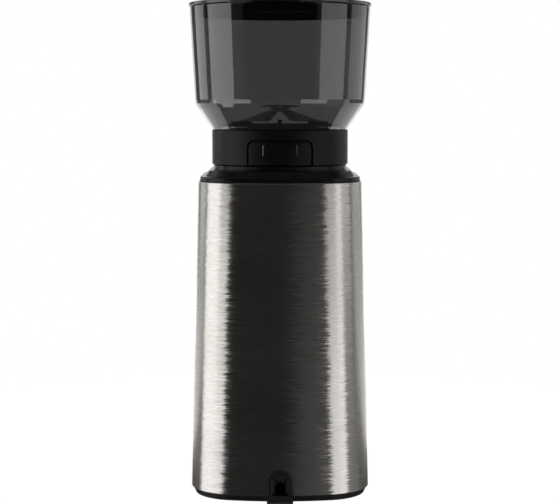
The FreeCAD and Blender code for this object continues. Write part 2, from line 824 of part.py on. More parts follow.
def front_panel():
    skin = body_block(steel_bottom_z, steel_top_z, 0)
    skin = skin.cut(body_block(steel_bottom_z - 1, steel_top_z + 1, panel_thickness))
    skin = skin.cut(box(-everywhere, everywhere, -panel_split - fixed_gap, everywhere, 0, everywhere))
    lap_inset = steel_thickness + fixed_gap
    lap = body_block(steel_bottom_z, steel_top_z, lap_inset)
    lap = lap.cut(body_block(steel_bottom_z - 1, steel_top_z + 1, lap_inset + panel_thickness - 1))
    lap_front = -panel_split - 4
    lap = lap.common(box(-everywhere, everywhere, lap_front, -panel_split + panel_lap, 0, everywhere))
    cap_rim_zone = box(-everywhere, everywhere, lap_front - 40, 0,
                       steel_top_z - cap_rim_depth - fixed_gap, everywhere)
    inner = body_block(steel_bottom_z - 1, steel_top_z + 1, steel_thickness + fixed_gap)
    panel = skin.fuse(lap).cut(cap_rim_zone.common(inner))
    return panel.cut(panel_openings()).removeSplitter()


def panel_openings():
    y0 = -everywhere
    y1 = -panel_split
    margin = duct_wall + fixed_gap
    duct_half = outlet_port_half_width + margin
    duct = box(-duct_half, duct_half, y0, y1, chamber_floor_top_z - margin, outlet_port_top_z + margin)
    trigger = cylinder_y(trigger_radius + turning_gap, y0, y1, 0, trigger_z)
    half_w = rocker_half_width + sliding_gap + rocker_bezel / 2
    half_h = rocker_half_height + sliding_gap + rocker_bezel / 2
    rocker = box(-half_w, half_w, y0, y1, rocker_z - half_h, rocker_z + half_h)
    return Part.makeCompound([duct, trigger, rocker])


def top_cap():
    lip = body_block(steel_top_z, cap_lip_top_z, cap_lip_inset)
    shoulder = body_block(cap_lip_top_z, cap_top_z, cap_shoulder_inset, cap_shoulder_top_inset)
    neck = cylinder(cap_neck_radius, cap_top_z, cap_neck_top_z)
    rim_inset = steel_thickness + fixed_gap
    rim = body_block(steel_top_z - cap_rim_depth, steel_top_z, rim_inset + panel_thickness)
    rim = rim.cut(body_block(steel_top_z - cap_rim_depth - 1, steel_top_z + 1,
                             rim_inset + panel_thickness + cap_rim_thickness))
    body = fuse([lip, shoulder, neck, rim])
    bore = collar_tube_radius + turning_gap
    pocket_inset = cap_shoulder_top_inset + cap_wall + 2
    pocket = body_block(steel_top_z - 1, cap_top_z - cap_wall, pocket_inset)
    pocket = pocket.cut(cylinder(bore + cap_boss_wall, 0, everywhere))
    return body.cut(pocket).cut(cylinder(bore, 0, everywhere))


# ---- collar, latch, hopper and lid ----

def latch_outline(half_width, top_z, bottom_z, radius, y0, y1):
    """A block with the latch panel's outline: square foot, rounded top corners."""
    block = box(-half_width, half_width, y0, y1, bottom_z, top_z)
    edges = []
    for edge in block.Edges:
        points = [vertex.Point for vertex in edge.Vertexes]
        at_top = all(abs(point.z - top_z) < 0.01 for point in points)
        if at_top and abs(points[0].x - points[1].x) < 0.01:
            edges.append(edge)
    return block.makeFillet(radius, edges)


def adjustment_collar():
    top = collar_top_z
    chamfer = collar_chamfer
    inner_wall = collar_radius - collar_wall
    tube_inner = collar_tube_radius - collar_tube_wall
    outer = [(tube_inner, top), (collar_radius - chamfer, top), (collar_radius, top - chamfer)]
    outer += [(collar_radius, collar_bottom_z + chamfer), (collar_radius - chamfer, collar_bottom_z)]
    outer += [(collar_tube_radius, collar_bottom_z), (collar_tube_radius, collar_tube_bottom_z)]
    outer += [(tube_inner, collar_tube_bottom_z)]
    body = revolve(outer)
    body = body.cut(tube(inner_wall, collar_tube_radius, collar_bottom_z + collar_plate, top - collar_plate))
    opening = latch_outline(latch_half_width + latch_gap, latch_top_z + latch_gap, collar_bottom_z - 1,
                            latch_corner_radius + latch_gap, latch_cut_start, everywhere)
    pocket_radius = inner_wall - latch_flange_thickness - latch_travel - sliding_gap
    opening = opening.cut(cylinder(pocket_radius, 0, everywhere))
    body = body.cut(opening)
    for side in (-1, 1):
        guide = cylinder_y(latch_post_radius + sliding_gap, latch_cut_start, collar_tube_radius + 1,
                           side * latch_post_x, latch_post_z)
        body = body.cut(guide)
    slot_half = carrier_key_half_width + sliding_gap
    slot_top = carrier_key_bottom_z + carrier_key_height + 1
    slot = box(-slot_half, slot_half, tube_inner - 5, collar_tube_radius + 1, 0, slot_top)
    for copy in around(slot, adjust_keys):
        body = body.cut(copy)
    return body.removeSplitter()


def latch_button():
    outer = collar_radius
    inner = outer - latch_wall
    bottom = collar_bottom_z + fixed_gap
    face = latch_outline(latch_half_width, latch_top_z, bottom, latch_corner_radius, latch_cut_start,
                         everywhere)
    face = face.common(tube(outer, inner, 0, everywhere))
    flange_out = outer - collar_wall - fixed_gap
    flange_in = flange_out - latch_flange_thickness
    flange = latch_outline(latch_half_width + latch_gap + latch_flange, latch_top_z + latch_gap
                           + latch_flange, collar_bottom_z + collar_plate + sliding_gap,
                           latch_corner_radius, latch_cut_start, everywhere)
    flange = flange.common(tube(flange_out, flange_in, 0, everywhere))
    bridge = latch_outline(latch_half_width, latch_top_z, collar_bottom_z + collar_plate + sliding_gap,
                           latch_corner_radius, latch_cut_start, everywhere)
    bridge = bridge.common(tube(inner, flange_out - 0.5, 0, everywhere))
    pad = latch_outline(latch_pad_half_width, latch_pad_top_z, latch_pad_bottom_z, latch_pad_corner,
                        latch_cut_start, everywhere)
    pad = pad.common(tube(outer + latch_pad_proud, inner, 0, everywhere))
    shapes = [face, flange, bridge, pad]
    sleeve_y = math.sqrt(sleeve_radius ** 2 - (latch_post_x - latch_post_radius) ** 2)
    post_tip = sleeve_y + latch_travel + sliding_gap
    post_root = math.sqrt(outer ** 2 - (latch_post_x + latch_post_radius) ** 2) - latch_wall / 2
    for side in (-1, 1):
        shapes.append(cylinder_y(latch_post_radius, post_tip, post_root, side * latch_post_x, latch_post_z))
    body = fuse(shapes)
    return body.removeSplitter()


def ring_clip():
    """The ring on the collar's tube that keeps it under the cap."""
    top = steel_top_z - fixed_gap
    return tube(ring_clip_radius, collar_tube_radius, top - ring_clip_thickness, top)


def hopper():
    cone_slope = (hopper_cone_top_radius - hopper_foot_radius) / (hopper_cone_top_z - hopper_foot_z)
    inner_foot_z = hopper_foot_z + hopper_wall
    inner_foot_radius = hopper_foot_radius - hopper_wall / 2
    inner_cone_top = inner_foot_radius + cone_slope * (hopper_cone_top_z - inner_foot_z)
    foot_z = collar_top_z + sliding_gap
    points = [(sleeve_radius, foot_z), (hopper_foot_radius - hopper_foot_chamfer, foot_z)]
    points += [(hopper_foot_radius, hopper_foot_z), (hopper_cone_top_radius, hopper_cone_top_z)]
    bend_mid_z = (hopper_cone_top_z + hopper_bend_z) / 2
    bend_run = hopper_bend_radius - hopper_cone_top_radius
    bend_mid_radius = hopper_cone_top_radius + hopper_bend_bulge * bend_run
    points += [(bend_mid_radius, bend_mid_z), (hopper_bend_radius, hopper_bend_z)]
    points += [(hopper_rim_radius, hopper_rim_z), (hopper_rim_radius - hopper_wall, hopper_rim_z)]
    points += [(hopper_bend_radius - hopper_wall, hopper_bend_z)]
    points += [(bend_mid_radius - hopper_wall, bend_mid_z - hopper_inner_drop)]
    points += [(inner_cone_top - hopper_foot_chamfer, hopper_cone_top_z - hopper_inner_drop)]
    points += [(inner_foot_radius, inner_foot_z), (sleeve_radius, inner_foot_z - hopper_foot_chamfer)]
    return revolve(points)


def hopper_sleeve():
    inner = sleeve_radius - sleeve_wall
    groove = sleeve_radius - seal_groove_depth
    chamfer = sleeve_chamfer
    points = [(inner, sleeve_bottom_z), (sleeve_radius - chamfer, sleeve_bottom_z)]
    points += [(sleeve_radius, sleeve_bottom_z + chamfer), (sleeve_radius, seal_z), (groove, seal_z)]
    points += [(groove, seal_z + seal_height), (sleeve_radius, seal_z + seal_height)]
    points += [(sleeve_radius, sleeve_top_z), (inner + chamfer, sleeve_top_z), (inner, sleeve_top_z - chamfer)]
    return revolve(points)


def hopper_seal():
    return tube(sleeve_radius + seal_proud - sliding_gap / 2, sleeve_radius - seal_groove_depth,
                seal_z, seal_z + seal_height)


def bean_guard():
    """A conical cap over the throat, open by an arch at the front and rear, on three legs."""
    rim_z = guard_rim_z
    slope = (guard_top_z - rim_z) / (guard_radius - guard_tip_radius)
    inner_top = guard_top_z - guard_crown_thickness
    points = [(0, guard_top_z), (guard_tip_radius, guard_top_z - guard_tip_drop)]
    points += [(guard_radius, rim_z + guard_rim_edge)]
    points += [(guard_radius, rim_z), (guard_radius - guard_wall / slope + 1, rim_z), (0, inner_top)]
    cone = revolve(points)
    arch_points = [(-guard_arch_half_width, rim_z - 1), (guard_arch_half_width, rim_z - 1)]
    arch_points += [(0, guard_arch_top_z)]
    outline = Part.makePolygon([vec(x, -everywhere, z) for x, z in arch_points + arch_points[:1]])
    arch = Part.Face(outline).extrude(FreeCAD.Vector(0, 2 * everywhere, 0))
    arch = arch.cut(cylinder(guard_tip_radius + guard_arch_stop, 0, everywhere))
    shapes = [cone.cut(arch)]
    leg = box(-guard_leg_half_width, guard_leg_half_width, guard_radius - guard_leg_root,
              guard_leg_reach, sleeve_top_z, rim_z + guard_leg_overlap)
    shapes += [turned(leg, 60 + 120 * index) for index in range(guard_legs)]
    return fuse(shapes)


def hopper_lid():
    inner_rim = hopper_rim_radius - hopper_wall
    plug_outer = inner_rim - sliding_gap - lid_plug_gap
    under = lid_bottom_z
    crown_drop = lid_crown_z - lid_rim_top_z
    crown_radius = (lid_radius ** 2 + crown_drop ** 2) / (2 * crown_drop)
    crown = Part.makeSphere(crown_radius, vec(0, 0, lid_crown_z - crown_radius))
    plate = cylinder(lid_radius, under, lid_crown_z + 1).common(crown)
    rim_edges = [edge for edge in plate.Edges if abs(edge.BoundBox.ZMax - lid_rim_top_z) < 0.05
                 and edge.BoundBox.XLength > lid_radius]
    plate = plate.makeFillet(lid_edge, rim_edges)
    plug = tube(plug_outer, plug_outer - lid_plug_wall, lid_plug_bottom_z, under)
    return plate.fuse(plug).removeSplitter()


# ---- grinding parts ----

def grind_chamber():
    bore = chamber_bore
    floor_top = chamber_floor_top_z
    shapes = [tube(chamber_leg_radius, chamber_leg_radius - chamber_leg_wall, gearbox_cover_top_z,
                   chamber_floor_z)]
    shapes.append(cylinder(chamber_radius, chamber_floor_z, floor_top))
    shapes.append(tube(chamber_radius, bore, floor_top, chamber_top_z))
    body = fuse(shapes)
    body = body.cut(cylinder(shaft_radius + felt_ring_width, 0, everywhere))
    port = box(-outlet_port_half_width, outlet_port_half_width, -everywhere, -bore + 6, floor_top,
               outlet_port_top_z)
    return body.cut(port)


def dust_seal():
    """A felt ring round the shaft, in the chamber floor."""
    return tube(shaft_radius + felt_ring_width, shaft_radius + felt_gap, chamber_floor_z,
                chamber_floor_top_z)


def burr_shaft():
    top = inner_burr_top_z
    body = cylinder(shaft_radius, lower_bearing_z, top)
    return body.cut(cylinder(burr_screw_radius, top - burr_screw_length, top))


def burr_screw():
    top = inner_burr_top_z
    head = cylinder(burr_screw_head_radius, top, top + burr_screw_head)
    head_top = top + burr_screw_head
    slot = box(-burr_screw_slot_half, burr_screw_slot_half, -burr_screw_head_radius - 1,
               burr_screw_head_radius + 1, head_top - burr_screw_slot_depth, head_top + 1)
    shank = cylinder(burr_screw_radius, top - burr_screw_length, top)
    return head.cut(slot).fuse(shank)


def shaft_bearings():
    rings = []
    for z in (lower_bearing_z, upper_bearing_z):
        rings.append(tube(bearing_radius, shaft_radius + running_clearance, z, z + bearing_height))
    return Part.makeCompound(rings)


def star_wire(tip_radius, depth, z, phase):
    points = []
    for index in range(burr_teeth):
        tip = phase + 2 * math.pi * index / burr_teeth
        root = tip + math.pi / burr_teeth * burr_root_share
        for radius, angle in ((tip_radius, tip), (tip_radius - depth, root)):
            points.append(vec(radius * math.cos(angle), radius * math.sin(angle), z))
    return Part.makePolygon(points + points[:1])


def inner_burr():
    wires = [star_wire(inner_burr_radius, burr_tooth_depth, inner_burr_bottom_z, 0)]
    wires.append(star_wire(inner_burr_top_radius, burr_tooth_depth, inner_burr_top_z, burr_twist))
    cone = Part.makeLoft(wires, True, True)
    return cone.cut(cylinder(shaft_radius, 0, everywhere))


def outer_burr():
    ring = cylinder(outer_burr_radius, outer_burr_bottom_z, outer_burr_top_z)
    depth = burr_tooth_depth
    wires = [star_wire(inner_burr_radius + depth, depth, outer_burr_bottom_z, 0)]
    wires.append(star_wire(outer_burr_bore_top + depth, depth, outer_burr_top_z, -burr_twist))
    return ring.cut(Part.makeLoft(wires, True, True))


def burr_carrier():
    lip = carrier_lip
    seat_top = outer_burr_top_z
    points = [(outer_burr_radius, carrier_bottom_z), (carrier_radius, carrier_bottom_z)]
    points += [(carrier_radius, carrier_top_z), (carrier_throat_radius, carrier_top_z)]
    points += [(outer_burr_radius - lip, seat_top + lip), (outer_burr_radius - lip, seat_top)]
    points += [(outer_burr_radius, seat_top)]
    body = revolve(points)
    key = box(-carrier_key_half_width, carrier_key_half_width, carrier_radius - 2,
              collar_tube_radius - carrier_key_end_gap, carrier_key_bottom_z,
              carrier_key_bottom_z + carrier_key_height)
    return fuse([body] + around(key, adjust_keys))


def impeller():
    plate = cylinder(impeller_radius, impeller_bottom_z, impeller_bottom_z + impeller_plate)
    hub = cylinder(shaft_radius + impeller_hub_wall, impeller_bottom_z, inner_burr_bottom_z)
    blade = box(-impeller_blade_half, impeller_blade_half, shaft_radius,
                impeller_radius - impeller_blade_inset, impeller_bottom_z + 1, impeller_top_z)
    body = fuse([plate, hub] + around(blade, impeller_blades))
    return body.cut(cylinder(shaft_radius, 0, everywhere))


# ---- gear train ----

def involute(radius, base_radius):
    angle = math.acos(min(1.0, base_radius / radius))
    return math.tan(angle) - angle


def gear_blank(teeth, module, z0, z1, x, y, phase):
    """A spur gear with one tooth centred on the direction phase."""
    pitch = module * teeth / 2
    tip = pitch + addendum_factor * module
    root = pitch - dedendum_factor * module
    base = pitch * math.cos(pressure_angle)
    start = max(base, root)
    half_tooth = math.pi / (2 * teeth) - gear_backlash / (4 * pitch) + involute(pitch, base)

    def point(radius, angle):
        return vec(x + radius * math.cos(angle), y + radius * math.sin(angle), z0)

    radii = (start, (start + tip) / 2, tip)
    offsets = [half_tooth - involute(radius, base) for radius in radii]
    edges = []
    previous = None
    first = None
    for index in range(teeth):
        centre = phase + 2 * math.pi * index / teeth
        rising = [point(radius, centre - offset) for radius, offset in zip(radii, offsets)]
        falling = [point(radius, centre + offset) for radius, offset in zip(radii, offsets)]
        corners = [rising[0]]
        if base > root:
            corners.insert(0, point(root, centre - offsets[0]))
        if first is None:
            first = corners[0]
        if previous is not None:
            edges.append(Part.LineSegment(previous, corners[0]).toShape())
        if len(corners) > 1:
            edges.append(Part.LineSegment(corners[0], corners[1]).toShape())
        edges.append(Part.Arc(rising[0], rising[1], rising[2]).toShape())
        edges.append(Part.LineSegment(rising[2], falling[2]).toShape())
        edges.append(Part.Arc(falling[2], falling[1], falling[0]).toShape())
        previous = falling[0]
        if base > root:
            previous = point(root, centre + offsets[0])
            edges.append(Part.LineSegment(falling[0], previous).toShape())
    edges.append(Part.LineSegment(previous, first).toShape())
    return Part.Face(Part.Wire(edges)).extrude(FreeCAD.Vector(0, 0, z1 - z0))


def output_gear():
    z0 = slow_gear_bottom_z
    z1 = z0 + slow_gear_width
    body = gear_blank(output_teeth, slow_module, z0, z1, 0, 0, intermediate_angle)
    web_outer = slow_module * output_teeth / 2 - gear_rim
    web_inner = shaft_radius + gear_web_inner
    recess = gear_web_recess
    for side_z0, side_z1 in ((z0, z0 + recess), (z1 - recess, z1)):
        body = body.cut(tube(web_outer, web_inner, side_z0, side_z1))
    hub = cylinder(shaft_radius + gear_hub_wall, lower_bearing_z + bearing_height + gear_hub_end_gap,
                   gearbox_top_z - gear_hub_end_gap)
    return body.fuse(hub).cut(cylinder(shaft_radius, 0, everywhere)).removeSplitter()


def intermediate_gear():
    x = intermediate_x
    y = intermediate_y
    wheel_top = fast_gear_bottom_z + fast_gear_width
    wheel = gear_blank(wheel_teeth, fast_module, fast_gear_bottom_z, wheel_top, x, y, motor_angle)
    wheel_bore = wheel.cut(tube(wheel_teeth * fast_module / 2 - wheel_rim, wheel_hub_radius,
                                fast_gear_bottom_z, fast_gear_bottom_z + gear_web_recess, x, y))
    phase = intermediate_angle + math.pi + math.pi / pinion_teeth
    pinion = gear_blank(pinion_teeth, slow_module, wheel_top, slow_gear_bottom_z + slow_gear_width, x, y,
                        phase)
    body = wheel_bore.fuse(pinion)
    return body.cut(cylinder(axle_radius + running_clearance, 0, everywhere, x, y))


def motor_pinion():
    phase = motor_angle + math.pi + math.pi / motor_teeth
    z0 = fast_gear_bottom_z - pinion_overrun
    z1 = fast_gear_top_z + pinion_overrun
    body = gear_blank(motor_teeth, fast_module, z0, z1, motor_x, motor_y, phase)
    return body.cut(cylinder(motor_shaft_radius, 0, everywhere, motor_x, motor_y))


def intermediate_axle():
    return cylinder(axle_radius, gearbox_floor_z, gearbox_cover_top_z, intermediate_x, intermediate_y)


def gearbox_outline(shrink, z0, z1):
    output = cylinder(output_housing_radius - shrink, z0, z1)
    wheel = cylinder(wheel_housing_radius - shrink, z0, z1, intermediate_x, intermediate_y)
    return output.fuse(wheel).removeSplitter()


def gearbox_screw_places():
    """Ears outside the gearbox wall, clear of both gears."""
    reach = output_housing_radius + gearbox_ear_reach
    places = []
    for degrees in gearbox_screw_bearings:
        angle = math.radians(degrees)
        places.append((reach * math.cos(angle), reach * math.sin(angle)))
    return places


def gearbox_ears(z0, z1):
    ears = []
    for x, y in gearbox_screw_places():
        ears.append(cylinder(screw_head_radius + gearbox_ear_wall, z0, z1, x, y))
    return ears


def gearbox_housing():
    floor_top = gearbox_floor_top_z
    body = gearbox_outline(0, gearbox_floor_z, gearbox_top_z)
    body = fuse([body] + gearbox_ears(gearbox_floor_z, gearbox_top_z))
    body = body.cut(gearbox_outline(gear_wall, floor_top, gearbox_top_z))
    boss_top = lower_bearing_z + bearing_height
    boss = cylinder(bearing_radius + bearing_wall, floor_top, boss_top)
    thrust = cylinder(axle_radius + axle_boss_wall, floor_top, fast_gear_bottom_z - turning_gap, intermediate_x,
                      intermediate_y)
    body = fuse([body, boss, thrust])
    body = body.cut(cylinder(bearing_radius, lower_bearing_z, boss_top))
    body = body.cut(cylinder(axle_radius, 0, everywhere, intermediate_x, intermediate_y))
    body = body.cut(cylinder(motor_shaft_radius + motor_shaft_hole_gap, gearbox_floor_z, floor_top,
                              motor_x, motor_y))
    for x, y in gearbox_screw_places():
        body = body.cut(cylinder(screw_radius, gearbox_top_z - screw_length + gearbox_cover,
                                 gearbox_top_z, x, y))
    return body


def gearbox_cover_plate():
    top = gearbox_cover_top_z
    body = fuse([gearbox_outline(0, gearbox_top_z, top)] + gearbox_ears(gearbox_top_z, top))
    boss = cylinder(bearing_radius + bearing_wall, top, upper_bearing_z + bearing_height)
    body = body.fuse(boss).removeSplitter()
    body = body.cut(cylinder(bearing_radius, upper_bearing_z, upper_bearing_z + bearing_height))
    body = body.cut(cylinder(shaft_radius + shaft_hole_gap, gearbox_top_z, top))
    body = body.cut(cylinder(axle_radius, 0, everywhere, intermediate_x, intermediate_y))
    for x, y in gearbox_screw_places():
        body = body.cut(cylinder(screw_radius, gearbox_top_z, top, x, y))
    return body


def screw_down(x, y, seat_z):
    """A screw whose head sits on seat_z, pointing down."""
    head = cylinder(screw_head_radius, seat_z, seat_z + screw_head_height, x, y)
    top = seat_z + screw_head_height
    socket = cylinder(screw_socket_radius, top - screw_socket_depth, top, x, y)
    shank = cylinder(screw_radius, seat_z - screw_length, seat_z, x, y)
    return head.cut(socket).fuse(shank)


def screw_up(x, y, seat_z, length):
    """A screw whose head sits under seat_z, pointing up."""
    head = cylinder(screw_head_radius, seat_z - screw_head_height, seat_z, x, y)
    foot = seat_z - screw_head_height
    socket = cylinder(screw_socket_radius, foot, foot + screw_socket_depth, x, y)
    shank = cylinder(screw_radius, seat_z, seat_z + length, x, y)
    return head.cut(socket).fuse(shank)


def gearbox_screws():
    screws = [screw_down(x, y, gearbox_cover_top_z) for x, y in gearbox_screw_places()]
    return Part.makeCompound(screws)


def base_screws():
    seat = foot_height + screw_head_height
    return Part.makeCompound([screw_up(x, y, seat, screw_length) for x, y in frame_screw_places()])


# ---- inner frame and motor ----

def motor_screw_places():
    reach = motor_radius - motor_screw_inset
    places = []
    for degrees in (0, 120, 240):
        angle = math.radians(degrees)
        places.append((motor_x + reach * math.cos(angle), motor_y + reach * math.sin(angle)))
    return places


def inner_frame():
    x0 = frame_panel_x
    x1 = frame_panel_x + frame_panel_thickness
    front = frame_panel_front
    rear = frame_panel_rear
    deck_z = gearbox_floor_z - frame_deck
    panels = [box(x0, x1, front, rear, steel_bottom_z, steel_top_z)]
    panels.append(box(-x1, -x0, front, rear, steel_bottom_z, steel_top_z))
    shapes = panels + [box(-x0, x0, front, rear, deck_z, gearbox_floor_z)]
    shapes.append(gearbox_outline(0, deck_z, gearbox_floor_z))
    shapes.append(cylinder(motor_radius + frame_motor_margin, deck_z, gearbox_floor_z, motor_x, motor_y))
    shapes += gearbox_ears(deck_z, gearbox_floor_z)
    body = fuse(shapes)
    window_front = front + frame_window_margin
    window_rear = rear - frame_window_margin
    body = body.cut(box(-everywhere, everywhere, window_front, window_rear,
                        gearbox_floor_z + frame_window_rise, steel_top_z - frame_window_drop))
    body = body.cut(box(-everywhere, everywhere, window_front, window_rear,
                        steel_bottom_z + frame_lower_window_rise, deck_z - frame_lower_window_drop))
    body = body.cut(cylinder(motor_boss_radius, deck_z, deck_z + motor_boss_height, motor_x, motor_y))
    body = body.cut(cylinder(motor_shaft_radius + motor_shaft_hole_gap, deck_z, gearbox_floor_z,
                             motor_x, motor_y))
    body = body.cut(cylinder(axle_radius, deck_z, gearbox_floor_z, intermediate_x, intermediate_y))
    for x, y in motor_screw_places():
        body = body.cut(cylinder(screw_radius, deck_z, gearbox_floor_z, x, y))
    hole_top = foot_height + screw_head_height + screw_length
    for x, y in frame_screw_places():
        body = body.cut(cylinder(screw_radius, steel_bottom_z, hole_top, x, y))
    return body


def motor_screws():
    """Screws inside the can's top plate, up into the deck."""
    seat = motor_top_z - motor_top_plate
    length = motor_top_plate + frame_deck - screw_end_gap
    return Part.makeCompound([screw_up(x, y, seat, length) for x, y in motor_screw_places()])


def motor_can():
    body = cylinder(motor_radius, motor_bottom_z, motor_top_z, motor_x, motor_y)
    body = body.cut(cylinder(motor_radius - motor_wall, motor_bottom_z, motor_top_z - motor_top_plate,
                             motor_x, motor_y))
    boss = cylinder(motor_boss_radius, motor_top_z, motor_top_z + motor_boss_height, motor_x, motor_y)
    body = body.fuse(boss).removeSplitter()
    bush_z = motor_top_z + motor_boss_height - motor_bush_length
    body = body.cut(cylinder(motor_bush_radius, bush_z, everywhere, motor_x, motor_y))
    body = body.cut(cylinder(motor_shaft_radius + shaft_hole_gap, motor_bottom_z, bush_z, motor_x, motor_y))
    for x, y in motor_screw_places():
        body = body.cut(cylinder(screw_radius, motor_top_z - motor_top_plate, motor_top_z, x, y))
    return body


def motor_end_cap():
    z0 = end_cap_bottom_z
    plate = cylinder(motor_radius, z0, motor_bottom_z, motor_x, motor_y)
    inner = motor_radius - motor_wall
    spigot = cylinder(inner, motor_bottom_z, motor_bottom_z + end_cap_spigot, motor_x, motor_y)
    body = plate.fuse(spigot).removeSplitter()
    body = body.cut(cylinder(inner - end_cap_wall, z0 + end_cap_floor, everywhere, motor_x, motor_y))
    boss = cylinder(motor_bush_radius + end_cap_boss_wall, z0, motor_bottom_z + 1, motor_x, motor_y)
    body = body.fuse(boss).removeSplitter()
    body = body.cut(cylinder(motor_bush_radius, z0, z0 + motor_bush_length, motor_x, motor_y))
    body = body.cut(cylinder(motor_shaft_radius + shaft_hole_gap, z0, everywhere, motor_x, motor_y))
    floor_top = z0 + end_cap_floor
    for reach in (-end_cap_vent_reach, end_cap_vent_reach):
        body = body.cut(cylinder(end_cap_vent_radius, z0, floor_top, motor_x + reach, motor_y))
        body = body.cut(cylinder(end_cap_vent_radius, z0, floor_top, motor_x, motor_y + reach))
    return body


def motor_bushes():
    top_z = motor_top_z + motor_boss_height - motor_bush_length
    rings = []
    for z in (end_cap_bottom_z, top_z):
        rings.append(tube(motor_bush_radius, motor_shaft_radius + running_clearance, z,
                          z + motor_bush_length, motor_x, motor_y))
    return Part.makeCompound(rings)


def motor_magnets():
    outer = motor_radius - motor_wall
    ring = tube(outer, magnet_inner_radius, magnet_bottom_z, magnet_top_z, motor_x, motor_y)
    pieces = []
    for facing in (0, math.pi):
        low = facing - magnet_span / 2
        high = facing + magnet_span / 2
        reach = motor_radius * 2
        points = [(motor_x, motor_y)]
        for step in range(4):
            angle = low + (high - low) * step / 3
            points.append((motor_x + reach * math.cos(angle), motor_y + reach * math.sin(angle)))
        pieces.append(ring.common(prism(points, magnet_bottom_z, magnet_top_z)))
    return Part.makeCompound(pieces)


def brush_holders():
    """Two carbon brushes in their tubes, resting on the end cap's rim."""
    z0 = motor_bottom_z + end_cap_spigot
    outer = motor_radius - motor_wall - brush_can_gap
    wall = brush_tube_wall
    z1 = z0 + 2 * (brush_half_width + wall)
    shapes = []
    for side in (-1, 1):
        x0 = commutator_radius + brush_reach
        holder = box(x0, outer, motor_y - brush_half_width - wall, motor_y + brush_half_width + wall,
                     z0, z1)
        brush = box(commutator_radius + running_clearance * 2, x0, motor_y - brush_half_width,
                    motor_y + brush_half_width, z0 + wall, z1 - wall)
        pair = holder.fuse(brush).removeSplitter()
        if side < 0:
            pair = pair.mirror(vec(0, 0, 0), FreeCAD.Vector(1, 0, 0))
        pair.translate(FreeCAD.Vector(motor_x, 0, 0))
        shapes.append(pair)
    return Part.makeCompound(shapes)


def motor_shaft():
    top = fast_gear_top_z + pinion_overrun
    return cylinder(motor_shaft_radius, fan_bottom_z, top, motor_x, motor_y)


def motor_rotor():
    body = tube(rotor_radius, motor_shaft_radius, rotor_bottom_z, rotor_top_z, motor_x, motor_y)
    for index in range(rotor_slots):
        slot = box(motor_x - rotor_slot_width / 2, motor_x + rotor_slot_width / 2,
                   motor_y + rotor_radius - rotor_slot_depth, motor_y + rotor_radius + 1, rotor_bottom_z,
                   rotor_top_z)
        slot.rotate(vec(motor_x, motor_y, 0), FreeCAD.Vector(0, 0, 1), 360 * index / rotor_slots)
        body = body.cut(slot)
    return body


def rotor_winding():
    inner = motor_shaft_radius + winding_bore_wall
    rings = [tube(winding_radius, inner, rotor_bottom_z - winding_height, rotor_bottom_z, motor_x, motor_y)]
    rings.append(tube(winding_radius, inner, rotor_top_z, rotor_top_z + winding_height, motor_x, motor_y))
    return Part.makeCompound(rings)


def commutator():
    return tube(commutator_radius, motor_shaft_radius, commutator_bottom_z, commutator_top_z, motor_x,
                motor_y)


def cooling_fan():
    z1 = fan_bottom_z + fan_height
    plate = cylinder(fan_radius, fan_bottom_z, fan_bottom_z + fan_plate, motor_x, motor_y)
    hub = cylinder(motor_shaft_radius + fan_hub_wall, fan_bottom_z, z1, motor_x, motor_y)
    shapes = [plate, hub]
    for index in range(fan_blades):
        half = fan_blade_thickness / 2
        blade = box(motor_x - half, motor_x + half, motor_y + motor_shaft_radius + 1,
                    motor_y + fan_radius - fan_blade_inset, fan_bottom_z, z1)
        blade.rotate(vec(motor_x, motor_y, 0), FreeCAD.Vector(0, 0, 1), 360 * index / fan_blades)
        shapes.append(blade)
    return fuse(shapes).cut(cylinder(motor_shaft_radius, 0, everywhere, motor_x, motor_y))


# ---- spout, cradle, trigger, switch and board ----

def duct_front_y():
    return front_face_y(chamber_floor_top_z) - duct_proud


def chute_duct():
    half = outlet_port_half_width
    z0 = chamber_floor_top_z
    z1 = outlet_port_top_z
    wall = duct_wall
    outer = box(-half - wall, half + wall, duct_front_y(), -chamber_radius + duct_overlap, z0 - wall,
                z1 + wall)
    outer = outer.cut(cylinder(chamber_radius, 0, everywhere))
    return outer.cut(box(-half, half, -everywhere, 0, z0, z1))


def chute_spout():
    half = spout_half_width
    rear = front_face_y(spout_bottom_z) + spout_root
    body = box(-half, half, -spout_reach, rear, spout_bottom_z, spout_top_z)
    body = round_upright_edges(body, spout_corner, lambda x, y: y < rear - 1)
    inner = box(-half + spout_wall, half - spout_wall, -spout_reach + spout_wall, rear + 1,
                spout_bottom_z + spout_wall, spout_top_z - spout_wall)
    inner = round_upright_edges(inner, spout_corner - spout_wall, lambda x, y: y < rear)
    body = body.cut(inner)
    nozzle = cylinder(nozzle_radius, nozzle_bottom_z, spout_bottom_z + 1, 0, nozzle_y)
    body = body.fuse(nozzle).removeSplitter()
    body = body.cut(cylinder(nozzle_radius - nozzle_wall, 0, spout_bottom_z + spout_wall + 1, 0, nozzle_y))
    body = body.cut(body_block(steel_bottom_z, steel_top_z, 0))
    margin = duct_wall + fixed_gap
    duct_half = outlet_port_half_width + margin
    duct = box(-duct_half, duct_half, duct_front_y() - fixed_gap, 0, chamber_floor_top_z - margin,
               outlet_port_top_z + margin)
    return body.cut(duct)


